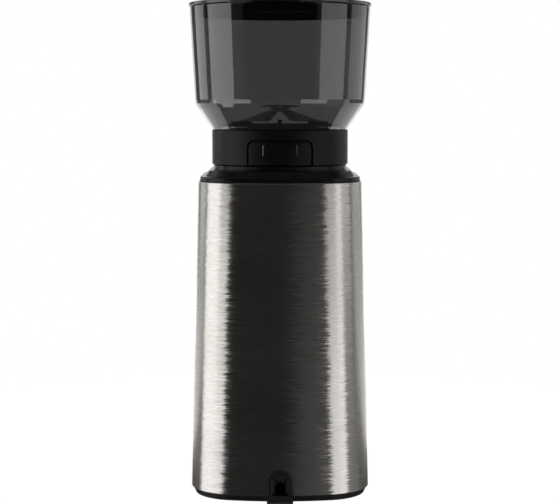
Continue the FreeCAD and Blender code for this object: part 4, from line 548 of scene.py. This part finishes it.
def turned(name, corners, steps=LATHE_STEPS):
    """A turned piece from a closed outline of (radius, height, rounding) corners."""
    rings = []
    for radius, height in rounded(corners):
        rings.append([point.to_3d() + Vector((0, 0, height)) for point in circle(radius, steps)])
    return object_from(skin(rings), name)


def block(name, low, high, degrees):
    """A plain block, placed from the grinding axis and turned about it."""
    mesh = bmesh.new()
    bmesh.ops.create_cube(mesh, size=1.0)
    middle = (Vector(low) + Vector(high)) / 2
    extent = Vector(high) - Vector(low)
    place = Matrix.Translation((AXIS.x, AXIS.y, 0)) @ Matrix.Rotation(math.radians(degrees), 4, "Z")
    bmesh.ops.transform(mesh, matrix=place @ Matrix.Translation(middle) @ Matrix.Diagonal((*extent, 1)),
                        verts=mesh.verts)
    return object_from(mesh, name)


def softened_copy(name, node, edge, steps=2):
    """A copy of a frame node's mesh, with its corners merged and its sharp edges rounded."""
    mesh = bmesh.new()
    mesh.from_mesh(frame["nodes"][node].data)
    bmesh.ops.remove_doubles(mesh, verts=mesh.verts, dist=MERGE_DISTANCE)
    bmesh.ops.dissolve_limit(mesh, angle_limit=FLAT_ANGLE, verts=mesh.verts, edges=mesh.edges)
    piece = object_from(mesh, name)
    bevel = piece.modifiers.new("edge", "BEVEL")
    bevel.width = edge
    bevel.segments = steps
    bevel.limit_method = "ANGLE"
    bevel.angle_limit = BEVEL_ANGLE
    bevel.use_clamp_overlap = True
    bpy.context.view_layer.update()
    apply_modifiers(piece)
    return piece


# ---- the shell's outline ----

def reach_at(node, height):
    """Half width, rear and front reach of a node's vertices at a height."""
    points = [v.co for v in frame["nodes"][node].data.vertices if abs(v.co.z - height) < 1e-4]
    return max(p.x for p in points), max(p.y for p in points), min(p.y for p in points)


STEEL_LOW, STEEL_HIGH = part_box("steel_shell")
FOOT_HALF, FOOT_REAR, SPLIT_Y = reach_at("steel_shell", STEEL_LOW.z)
TOP_HALF, TOP_REAR, SPLIT_Y = reach_at("steel_shell", STEEL_HIGH.z)
FOOT_FRONT = reach_at("front_panel", STEEL_LOW.z)[2]
TOP_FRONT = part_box("front_panel")[0].y


def side_line(height, inset, front_stop=None):
    """The shell's outline on the +X side, from the middle of the rear to the front, or to front_stop."""
    rise = (height - STEEL_LOW.z) / (STEEL_HIGH.z - STEEL_LOW.z)
    half = FOOT_HALF + rise * (TOP_HALF - FOOT_HALF) - inset
    rear = FOOT_REAR + rise * (TOP_REAR - FOOT_REAR) - inset
    front = FOOT_FRONT + rise * (TOP_FRONT - FOOT_FRONT) + inset
    bow = sizes().rear_bow - inset
    corner = sizes().rear_corner - inset
    front_corner = max(sizes().front_corner - inset, MM)
    corner_x = half - corner
    bow_y = rear - bow
    corner_y = bow_y + math.sqrt((bow - corner) ** 2 - corner_x ** 2)
    turn = math.atan2(corner_y - bow_y, corner_x)
    points = []
    for step in range(16):
        angle = math.pi / 2 + (turn - math.pi / 2) * step / 16
        points.append(Vector((bow * math.cos(angle), bow_y + bow * math.sin(angle), height)))
    for step in range(16):
        angle = turn * (1 - step / 16)
        points.append(Vector((corner_x + corner * math.cos(angle),
                              corner_y + corner * math.sin(angle), height)))
    stop = front + front_corner if front_stop is None else front_stop
    for step in range(9):
        points.append(Vector((half, corner_y + (stop - corner_y) * step / 8, height)))
    if front_stop is None:
        for step in range(1, 9):
            angle = -math.pi / 2 * step / 8
            points.append(Vector((half - front_corner + front_corner * math.cos(angle),
                                  front + front_corner + front_corner * math.sin(angle), height)))
        inner_x = half - front_corner
        for step in range(1, 7):
            points.append(Vector((inner_x * (1 - step / 6), front, height)))
    return points


def mirrored(points):
    return [Vector((-point.x, point.y, point.z)) for point in points]


def outline(height, inset):
    """The shell's whole outline at a height, moved inwards by inset."""
    right = side_line(height, inset)
    return right + mirrored(right[-2:0:-1])


def open_outline(height, inset, front_stop):
    """The outline round the rear only, from one side's front_stop to the other's."""
    right = side_line(height, inset, front_stop)
    return mirrored(reversed(right[1:])) + right


def divided(points, longest):
    """Extra points on the long straight runs of a closed line."""
    result = []
    for index, point in enumerate(points):
        result.append(point)
        onward = points[(index + 1) % len(points)]
        extra = int((onward - point).length / longest)
        for step in range(1, extra + 1):
            result.append(point.lerp(onward, step / (extra + 1)))
    return result


def arch(half_width, foot, spring, top, steps=20):
    """Outline of an arch in X and Z: upright sides and a segment of a circle on top."""
    rise = top - spring
    radius = (half_width ** 2 + rise ** 2) / (2 * rise)
    centre = top - radius
    start = math.asin(min(1.0, half_width / radius))
    points = [(-half_width, foot), (half_width, foot)]
    for step in range(steps + 1):
        angle = start * (1 - 2 * step / steps)
        points.append((radius * math.sin(angle), centre + radius * math.cos(angle)))
    return points


def prism(name, layers):
    """A solid through layers of (outline in X and Z, Y or a function of X that gives Y)."""
    rings = []
    for points, place in layers:
        rings.append([Vector((x, place(x) if callable(place) else place, z)) for x, z in points])
    return object_from(skin(rings, looped=False), name)


def onto_cylinder(radius):
    """Y on the camera side of an upright cylinder about the grinding axis, for an X."""
    return lambda x: AXIS.y + math.sqrt(max(radius ** 2 - x ** 2, 0.0))


def round_panel(half_width, foot, top, corner):
    """Outline in X and Z: square foot and rounded top corners."""
    return [tuple(point) for point in rounded([(-half_width, foot, 0), (half_width, foot, 0),
                                               (half_width, top, corner), (-half_width, top, corner)], 8)]


class PieceOperator(Operator):
    """What the grinder's operators share."""

    bl_options = {"REGISTER", "UNDO"}


class GRINDER_OT_frame_finishes(PieceOperator):
    """Make the finishes, and give every frame piece the one that its slot names"""

    bl_idname = "grinder.frame_finishes"
    bl_label = "Frame finishes"

    def execute(self, context):
        make_finishes()
        for part in frame["record"]["subparts"]:
            piece = frame["nodes"][part["node"]]
            piece.data.materials.clear()
            piece.data.materials.append(FINISHES[part["material_slot"]])
            for polygon in piece.data.polygons:
                polygon.material_index = 0
        return {"FINISHED"}


class GRINDER_OT_steel_shell(PieceOperator):
    """Build the brushed shell: one bent sheet with hemmed edges and a notch for the cord outlet"""

    bl_idname = "grinder.steel_shell"
    bl_label = "Steel shell"

    def execute(self, context):
        sheet = sizes().sheet
        hem = sizes().hem
        bottom = STEEL_LOW.z
        top = STEEL_HIGH.z
        profile = rounded([(0, bottom, hem), (0, top, hem), (sheet, top, hem), (sheet, bottom, hem)])
        rings = [open_outline(point.y, point.x, SPLIT_Y) for point in divided(profile, 0.03)]
        shell = object_from(skin(rings, closed=False), "visual_steel_shell")
        half = NOTCH_HALF + FIT_GAP
        spring = bottom + NOTCH_SPRING
        crown = spring + NOTCH_RISE + FIT_GAP
        notch = arch(half, bottom - CUT_MARGIN, spring, crown)
        notch_wide = arch(half + hem, bottom - CUT_MARGIN, spring, crown + hem)
        tool = prism("notch", [(notch, 0.0), (notch, FOOT_REAR - hem - 0.5 * MM),
                               (notch_wide, FOOT_REAR + hem), (notch_wide, FOOT_REAR + 0.05)])
        combine(shell, tool, "DIFFERENCE")
        dress(shell, "brushed_steel", "housing", "steel_shell")
        return {"FINISHED"}


class GRINDER_OT_top_cap(PieceOperator):
    """Build the cap: a rounded lip and shoulder that run into the round neck"""

    bl_idname = "grinder.top_cap"
    bl_label = "Top cap"

    def execute(self, context):
        seat = STEEL_HIGH.z
        lip_top = seat + LIP_HEIGHT
        shoulder_top = lip_top + SHOULDER_HEIGHT
        neck_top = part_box("top_cap")[1].z
        rim_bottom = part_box("top_cap")[0].z
        outer = [(6.2 * MM, seat, 0), (6.2 * MM, rim_bottom, 0), (3.8 * MM, rim_bottom, 0),
                 (3.8 * MM, seat, 0), (1.2 * MM, seat, 0.4 * MM), (1.2 * MM, lip_top, 1.3 * MM),
                 (4.9 * MM, lip_top, 0.6 * MM), (SHOULDER_INSET, shoulder_top, 1.2 * MM),
                 (9.6 * MM, shoulder_top, 0)]
        path = rounded(outer)
        rings = [outline(point.y, point.x) for point in path]
        shape = outline(shoulder_top, SHOULDER_INSET)
        for point in rounded([(NECK_RADIUS, shoulder_top, 0), (NECK_RADIUS, neck_top, 0.5 * MM),
                              (NECK_BORE, neck_top, 0.4 * MM), (NECK_BORE, seat, 0)]):
            rings.append([round_point(corner, point.x, point.y) for corner in shape])
        rings[len(path) - 1] = [self.between(corner, shoulder_top) for corner in shape]
        cap = object_from(skin(rings), "visual_top_cap")
        dress(cap, "gloss_black", "housing", "top_cap")
        return {"FINISHED"}

    @staticmethod
    def between(corner, height):
        """A point a little way in from the outline towards the neck's circle."""
        target = round_point(corner, NECK_RADIUS, height)
        start = Vector((corner.x, corner.y, height))
        return start.lerp(target, 0.35)


def round_point(corner, radius, height):
    """The point of a circle about the grinding axis that lies on a corner's side."""
    direction = Vector((corner.x - AXIS.x, corner.y - AXIS.y)).normalized()
    return Vector((AXIS.x + radius * direction.x, AXIS.y + radius * direction.y, height))


class GRINDER_OT_collar(PieceOperator):
    """Build the adjustment collar and the latch panel set into it"""

    bl_idname = "grinder.collar"
    bl_label = "Collar and latch"

    def execute(self, context):
        collar_low, collar_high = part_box("adjustment_collar")
        radius = collar_high.x
        top = collar_high.z
        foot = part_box("latch_button")[0].z - FIT_GAP
        edge = sizes().moulded_edge
        body = turned("visual_collar", [
            (COLLAR_BORE, top, edge), (radius, top, 1.0 * MM), (radius, foot, 0.7 * MM),
            (COLLAR_TUBE, foot, 0), (COLLAR_TUBE, collar_low.z, edge),
            (COLLAR_BORE, collar_low.z, edge)], COLLAR_STEPS)
        inner_wall = radius - COLLAR_WALL
        hollow = turned("hollow", [
            (COLLAR_TUBE, top - COLLAR_PLATE, 0), (inner_wall, top - COLLAR_PLATE, 0),
            (inner_wall, foot + COLLAR_PLATE, 0), (COLLAR_TUBE, foot + COLLAR_PLATE, 0)], COLLAR_STEPS)
        combine(body, hollow, "DIFFERENCE")
        for side in (-GUIDE_X, GUIDE_X):
            hole = [(side + GUIDE_RADIUS * math.cos(math.pi * step / 12),
                     foot + GUIDE_RISE + GUIDE_RADIUS * math.sin(math.pi * step / 12))
                    for step in range(24)]
            guide = prism("guide", [(hole, AXIS.y + CUT_NEAR), (hole, AXIS.y + COLLAR_TUBE + MM)])
            combine(body, guide, "DIFFERENCE")
        panel_top = foot + OPENING_HEIGHT
        base = round_panel(OPENING_HALF, foot - 3 * MM, panel_top, OPENING_CORNER)
        flared = round_panel(OPENING_HALF + OPENING_FLARE, foot - 3 * MM, panel_top + OPENING_FLARE,
                             OPENING_CORNER + 0.6 * MM)
        opening = prism("opening", [
            (base, AXIS.y + CUT_NEAR), (base, onto_cylinder(radius - 0.45 * MM)),
            (flared, onto_cylinder(radius + 0.35 * MM)), (flared, AXIS.y + CUT_FAR)])
        core = self.core(OPENING_BACK, foot - CUT_MARGIN, top + CUT_MARGIN)
        combine(opening, core, "DIFFERENCE")
        combine(body, opening, "DIFFERENCE")
        dress(body, "collar_black", "collar", "adjustment_collar")
        self.latch(radius, foot)
        return {"FINISHED"}

    @staticmethod
    def core(radius, low, high):
        """A plain cylinder on the grinding axis, used as a tool."""
        return turned("core", [(0, low, 0), (radius, low, 0), (radius, high, 0), (0, high, 0)], COLLAR_STEPS)

    def latch(self, radius, foot):
        """The latch panel: a curved plate with a raised finger pad, and the flange and posts behind it."""
        face = self.plate("visual_latch", radius - COLLAR_WALL, radius,
                          (LATCH_HALF, foot + FIT_GAP, foot + LATCH_HEIGHT, LATCH_CORNER), LATCH_EDGE)
        low = foot + PAD_RISE
        pad = self.plate("visual_latch_pad", radius - 1.0 * MM, radius + PAD_PROUD,
                         (PAD_HALF, low, low + PAD_HEIGHT, PAD_CORNER), PAD_EDGE)
        dress(face, "collar_black", "latch", "latch_button")
        dress(pad, "collar_black", "latch", "latch_button")
        # The pad's side faces get the glossier, slightly lighter polished_black, so they show bright lines
        # along the pad's edges: a painted highlight
        pad.data.materials.append(FINISHES["polished_black"])
        for polygon in pad.data.polygons:
            polygon.material_index = int(abs(polygon.normal.x) > PAD_HIGHLIGHT_FACING)
        rear = softened_copy("latch_inner", "latch_button", 0.1 * MM, 1)
        keep = self.core(radius - COLLAR_WALL - 0.1 * MM, foot - CUT_MARGIN, foot + 50 * MM)
        combine(rear, keep, "INTERSECT")
        dress(rear, "collar_black", "latch", "latch_button")

    @staticmethod
    def plate(name, inner, outer, panel, edge):
        """A plate bent round the grinding axis, with a round_panel outline and rounded front edges."""
        half, bottom, top, corner = panel
        body = turned(name, [(inner, bottom - CUT_MARGIN, 0), (outer, bottom - CUT_MARGIN, 0),
                             (outer, top + CUT_MARGIN, 0), (inner, top + CUT_MARGIN, 0)], LATCH_STEPS)
        layers = [(round_panel(half, bottom, top, corner), AXIS.y + CUT_NEAR)]
        for share_in, share_down in ((0.0, 1.0), (0.12, 0.5), (0.5, 0.12), (1.0, 0.0)):
            shrink = edge * share_in
            outline_here = round_panel(half - shrink, bottom + shrink, top - shrink, corner - shrink)
            layers.append((outline_here, onto_cylinder(outer - edge * share_down)))
        layers.append((layers[-1][0], AXIS.y + CUT_FAR))
        combine(body, prism("blank", layers), "INTERSECT")
        return body


class GRINDER_OT_hopper(PieceOperator):
    """Build the clear hopper with its sleeve, and the bean guard over its throat"""

    bl_idname = "grinder.hopper"
    bl_label = "Hopper"

    def execute(self, context):
        low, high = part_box("hopper")
        foot = low.z
        cone_foot = foot + 0.6 * MM
        cone_top = cone_foot + 16.3 * MM
        bend_top = cone_top + 5.8 * MM
        edge = sizes().glass_edge
        outer = [(SLEEVE_RADIUS, foot, 0), (52.4 * MM, foot, 0.2 * MM), (52.8 * MM, cone_foot, 0.3 * MM),
                 (63.9 * MM, cone_top, 4 * MM), (BEND_RADIUS, cone_top + 2.9 * MM, 0.9 * MM),
                 (FLARE_RADIUS, bend_top, 0.3 * MM), (high.x, high.z, edge)]
        inner = [(high.x - HOPPER_WALL, high.z, edge), (FLARE_RADIUS - HOPPER_WALL, bend_top, 0.3 * MM),
                 (BEND_RADIUS - HOPPER_WALL, cone_top + 2.3 * MM, 0.9 * MM),
                 (61.2 * MM, cone_top - 0.6 * MM, 3 * MM),
                 (51.7 * MM, cone_foot + HOPPER_WALL, 0.6 * MM),
                 (SLEEVE_RADIUS, cone_foot + HOPPER_WALL - 0.4 * MM, 0)]
        glass = turned("visual_hopper", outer + inner, HOPPER_STEPS)
        dress(glass, "smoked_clear", "hopper_body", "hopper")
        self.sleeve()
        self.guard()
        return {"FINISHED"}

    def guard(self):
        """The conical cap over the throat: a gabled way in at the front and rear, on three legs."""
        low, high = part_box("bean_guard")
        rim = high.z - GUARD_HEIGHT
        roof = turned("visual_bean_guard", [
            (0, high.z, 0), (2 * MM, high.z - 0.5 * MM, 0.5 * MM),
            (GUARD_RADIUS, rim + 0.6 * MM, 0.25 * MM), (GUARD_RADIUS, rim, 0.2 * MM),
            (GUARD_RADIUS - 2.7 * MM, rim, 0), (0, high.z - 2.08 * MM, 0)])
        gable = [(-GABLE_HALF, rim - 2 * MM), (GABLE_HALF, rim - 2 * MM),
                 (GABLE_TIP_HALF, rim + GABLE_HEIGHT), (-GABLE_TIP_HALF, rim + GABLE_HEIGHT)]
        for start, end in ((5 * MM, 60 * MM), (-60 * MM, -5 * MM)):
            combine(roof, prism("gable", [(gable, AXIS.y + start), (gable, AXIS.y + end)]), "DIFFERENCE")
        dress(roof, "frosted_clear", "hopper_body", "bean_guard")
        # The roof's downward faces and the three legs get the black finish, though the whole guard is one
        # frosted moulding: painted shade under the roof
        roof.data.materials.append(FINISHES["collar_black"])
        for polygon in roof.data.polygons:
            polygon.material_index = int(polygon.normal.z < GUARD_SHADE_FACING)
        for degrees in (60, 180, 300):
            leg = block(f"visual_guard_leg_{degrees}", (-LEG_HALF, LEG_START, low.z),
                        (LEG_HALF, LEG_END, rim), degrees)
            dress(leg, "collar_black", "hopper_body", "bean_guard")

    def sleeve(self):
        low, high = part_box("hopper_sleeve")
        seal_low, seal_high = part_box("hopper_seal")
        radius = high.x
        bore = radius - SLEEVE_WALL
        edge = sizes().moulded_edge
        ring = turned("visual_sleeve", [
            (bore, low.z, edge), (radius, low.z, 1.0 * MM), (radius, seal_low.z, 0.1 * MM),
            (radius - 1 * MM, seal_low.z, 0), (radius - 1 * MM, seal_high.z, 0),
            (radius, seal_high.z, 0.1 * MM), (radius, high.z, 0.4 * MM),
            (bore, high.z, 0.8 * MM)], SLEEVE_STEPS)
        dress(ring, "collar_black", "hopper_body", "hopper_sleeve")


class GRINDER_OT_hopper_lid(PieceOperator):
    """Build the domed lid with its plug ring"""

    bl_idname = "grinder.hopper_lid"
    bl_label = "Hopper lid"

    def execute(self, context):
        low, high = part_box("hopper_lid")
        radius = high.x
        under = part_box("hopper")[1].z + 0.3 * MM
        rim_top = under + 2.6 * MM
        plug_bore = PLUG_RADIUS - PLUG_WALL
        crown = high.z - rim_top
        dome = (radius ** 2 + crown ** 2) / (2 * crown)
        corners = [(0, under, 0), (plug_bore, under, 0.4 * MM), (plug_bore, low.z, 0.4 * MM),
                   (PLUG_RADIUS, low.z, 0.4 * MM), (PLUG_RADIUS, under, 0.3 * MM),
                   (radius, under, 0.5 * MM), (radius, rim_top, 0.9 * MM)]
        for share in (0.9, 0.75, 0.6, 0.45, 0.3, 0.15, 0.0):
            reach = radius * share
            corners.append((reach, high.z - dome + math.sqrt(dome ** 2 - reach ** 2), 0))
        lid = turned("visual_lid", corners, HOPPER_STEPS)
        dress(lid, "lid_black", "lid", "hopper_lid")
        return {"FINISHED"}


# Frame node, finish, body and edge rounding in millimetres
SOFTENED = (
    ("front_panel", "satin_black", "housing", 0.5),
    ("base_plate", "satin_black", "housing", 0.4),
    ("cord_outlet", "satin_black", "housing", 0.4),
    ("chute_spout", "gloss_black", "housing", 1.0),
    ("portafilter_cradle", "satin_black", "housing", 0.8),
    ("grounds_tray", "satin_black", "tray", 0.6),
    ("switch_housing", "gloss_black", "housing", 0.4),
    ("rocker_button", "gloss_black", "rocker", 0.4),
    ("trigger_plunger", "gloss_black", "trigger", 0.3),
    ("rubber_feet", "rubber", "housing", 0.6),
    ("rear_foot", "grey_rubber", "housing", 0.4),
)


class GRINDER_OT_mouldings(PieceOperator):
    """Build the plain mouldings: the frame's own shapes with softly rounded edges"""

    bl_idname = "grinder.mouldings"
    bl_label = "Mouldings"

    def execute(self, context):
        for node, slot, body, edge in SOFTENED:
            piece = softened_copy(f"visual_{node}", node, edge * MM)
            dress(piece, slot, body, node)
        return {"FINISHED"}


# Frame node, body, the joint that shortens it, the corner of its box that stays (0 low, 1 high)
# and the share of its length left at the joint's longer limit
SPRINGS = (
    ("latch_spring", "collar", "latch_press", 0, 0.42),
    ("trigger_spring", "housing", "trigger_press", 1, 0.44),
)


class GRINDER_OT_springs(PieceOperator):
    """Build the two coil springs of the latch and the trigger"""

    bl_idname = "grinder.springs"
    bl_label = "Springs"

    def execute(self, context):
        for node, body, joint, seat, keep in SPRINGS:
            mesh = bmesh.new()
            mesh.from_mesh(frame["nodes"][node].data)
            bmesh.ops.remove_doubles(mesh, verts=mesh.verts, dist=MERGE_DISTANCE)
            coil = dress(object_from(mesh, f"visual_{node}"), "zinc_steel", body, node)
            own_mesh(coil)
        return {"FINISHED"}


# Name, start and end bearing in degrees, heights of the low and high edge in metres, radiance
LIGHTS = (
    ("light_left_high", 62, 101, 0.19, 1.2, 1.9),
    ("light_left_far", 110, 134, 0.19, 1.2, 1.2),
    ("light_left_low", 40, 102, -0.7, 0.19, 2.1),
    ("light_right_high", -52, -91, 0.19, 1.2, 1.2),
    ("light_right_far", -100, -140, 0.19, 1.2, 0.7),
    ("light_right_low", -28, -66, -0.7, 0.19, 1.75),
    ("light_right_low_far", -66, -105, -0.7, 0.19, 0.15),
    ("light_right_low_near", -8, -22, -0.7, 0.19, 0.10),
)


class GRINDER_OT_stage(PieceOperator):
    """Set the pale floor, the studio light and the camera"""

    bl_idname = "grinder.stage"
    bl_label = "Stage"

    def execute(self, context):
        rim = [(0.5 * math.cos(math.pi * step / 48), 0.5 * math.sin(math.pi * step / 48))
               for step in range(96)]
        floor = object_from(skin([[Vector((x, y, z)) for x, y in rim] for z in (-0.01, 0.0)],
                                 looped=False), "floor")
        floor.data.materials.append(self.floor_material())
        self.world()
        floor.visible_glossy = False
        pieces = [floor, self.camera()]
        for name, start, end, low, high, radiance in LIGHTS:
            pieces.append(self.upright_panel(name, start, end, low, high, radiance))
        pieces.append(self.panel("light_top", (0, AXIS.y, 1.7), (0, 0, 0), 1.0, 1.0, 0.9))
        pieces.append(self.panel("light_front", (0, -1.5, 0.6), (math.pi / 2, 0, 0), 1.6, 1.4, 1.0))
        pieces.append(self.panel("light_bounce", (0, -0.75, 0.002), (math.pi, 0, 0), 2.4, 1.3, 1.0))
        self.dark_card(pieces)
        scene = bpy.context.scene
        scene.view_settings.view_transform = "Standard"
        return {"FINISHED"}

    @staticmethod
    def floor_material():
        """Pale floor: white to the camera with the faintest shadow, dimmer in reflections."""
        material = bpy.data.materials.new("floor")
        material.use_nodes = True
        nodes = material.node_tree.nodes
        links = material.node_tree.links
        nodes.clear()
        matt = nodes.new("ShaderNodeBsdfDiffuse")
        matt.inputs["Color"].default_value = (0.12, 0.12, 0.12, 1)
        glow = nodes.new("ShaderNodeEmission")
        glow.inputs["Color"].default_value = (1, 1, 1, 1)
        glow.inputs["Strength"].default_value = 1.12
        path = nodes.new("ShaderNodeLightPath")
        share = nodes.new("ShaderNodeMath")
        share.operation = "MULTIPLY"
        share.inputs[1].default_value = 0.9
        mix = nodes.new("ShaderNodeMixShader")
        out = nodes.new("ShaderNodeOutputMaterial")
        links.new(path.outputs["Is Camera Ray"], share.inputs[0])
        links.new(share.outputs[0], mix.inputs["Fac"])
        links.new(matt.outputs[0], mix.inputs[1])
        links.new(glow.outputs[0], mix.inputs[2])
        links.new(mix.outputs[0], out.inputs["Surface"])
        return material

    @staticmethod
    def world():
        """A white backdrop to the camera, and a dim room to everything else."""
        world = bpy.data.worlds.new("studio")
        bpy.context.scene.world = world
        world.use_nodes = True
        nodes = world.node_tree.nodes
        links = world.node_tree.links
        backdrop = nodes["Background"]
        backdrop.inputs["Color"].default_value = (1, 1, 1, 1)
        backdrop.inputs["Strength"].default_value = 1.0
        room = nodes.new("ShaderNodeBackground")
        room.inputs["Color"].default_value = (1.0, 0.985, 0.96, 1)
        room.inputs["Strength"].default_value = 0.12
        path = nodes.new("ShaderNodeLightPath")
        mix = nodes.new("ShaderNodeMixShader")
        links.new(path.outputs["Is Camera Ray"], mix.inputs["Fac"])
        links.new(room.outputs[0], mix.inputs[1])
        links.new(backdrop.outputs[0], mix.inputs[2])
        links.new(mix.outputs[0], nodes["World Output"].inputs["Surface"])

    @staticmethod
    def panel(name, place, turn, width, height, radiance):
        """A soft panel; radiance is its brightness as the steel sees it."""
        data = bpy.data.lights.new(name, "AREA")
        data.shape = "RECTANGLE"
        data.size = width
        data.size_y = height
        data.energy = radiance * math.pi * width * height
        light = bpy.data.objects.new(name, data)
        bpy.context.scene.collection.objects.link(light)
        light.location = place
        light.rotation_euler = turn
        light.visible_camera = False
        light.visible_transmission = name not in ("light_top", "light_bounce")
        return light

    @classmethod
    def upright_panel(cls, name, start, end, low, high, radiance):
        """A panel that fills the bearings start to end, in degrees from the camera's side towards +X."""
        middle = math.radians((start + end) / 2)
        distance = 1.0
        width = 2 * distance * math.tan(math.radians(abs(end - start) / 2))
        place = (distance * math.sin(middle), AXIS.y + distance * math.cos(middle), (low + high) / 2)
        turn = (math.pi / 2, 0, math.pi - middle)
        return cls.panel(name, place, turn, width, high - low, radiance)

    @staticmethod
    def dark_card(pieces):
        """A nearly black card behind the camera, so that the shell's middle reflects very little."""
        corners = [(-2, 1.9, -2), (2, 1.9, -2), (2, 1.9, 2.5), (-2, 1.9, 2.5)]
        rings = [[Vector(corner) + Vector((0, depth, 0)) for corner in corners] for depth in (0, 0.01)]
        card = object_from(skin(rings, looped=False), "dark_card")
        material = bpy.data.materials.new("card")
        material.use_nodes = True
        shader = material.node_tree.nodes["Principled BSDF"]
        shader.inputs["Base Color"].default_value = (0, 0, 0, 1)
        shader.inputs["Specular IOR Level"].default_value = 0
        shader.inputs["Emission Color"].default_value = (1, 1, 1, 1)
        shader.inputs["Emission Strength"].default_value = studio().card
        card.data.materials.append(material)
        card.visible_camera = False
        card.visible_diffuse = False
        pieces.append(card)

    @staticmethod
    def camera():
        data = bpy.data.cameras.new("camera")
        data.lens = studio().lens
        data.sensor_width = 36
        camera = bpy.data.objects.new("camera", data)
        bpy.context.scene.collection.objects.link(camera)
        camera.location = (0, AXIS.y + studio().distance, studio().height)
        camera.rotation_euler = (math.pi / 2 - studio().pitch, 0, math.pi)
        bpy.context.scene.camera = camera
        return camera


class GRINDER_PT_pieces(Panel):
    """Lists every piece's button, and the studio's"""

    bl_label = "Burr grinder"
    bl_space_type = "VIEW_3D"
    bl_region_type = "UI"
    bl_category = "Grinder"

    def draw(self, context):
        for operator in OPERATORS:
            self.layout.operator(operator.bl_idname)


OPERATORS = (
    GRINDER_OT_frame_finishes,
    GRINDER_OT_steel_shell,
    GRINDER_OT_top_cap,
    GRINDER_OT_collar,
    GRINDER_OT_hopper,
    GRINDER_OT_hopper_lid,
    GRINDER_OT_mouldings,
    GRINDER_OT_springs,
    GRINDER_OT_stage,
)
CLASSES = (GrinderSizes, GrinderColours, StudioSettings, *OPERATORS, GRINDER_PT_pieces)


def register():
    for item in CLASSES:
        bpy.utils.register_class(item)
    bpy.types.Scene.grinder_sizes = PointerProperty(type=GrinderSizes)
    bpy.types.Scene.grinder_colours = PointerProperty(type=GrinderColours)
    bpy.types.Scene.grinder_studio = PointerProperty(type=StudioSettings)


def unregister():
    del bpy.types.Scene.grinder_studio
    del bpy.types.Scene.grinder_colours
    del bpy.types.Scene.grinder_sizes
    for item in reversed(CLASSES):
        bpy.utils.unregister_class(item)


def main():
    register()
    for operator in OPERATORS:
        group, name = operator.bl_idname.split(".")
        getattr(getattr(bpy.ops, group), name)()


if __name__ == "__main__":
    main()
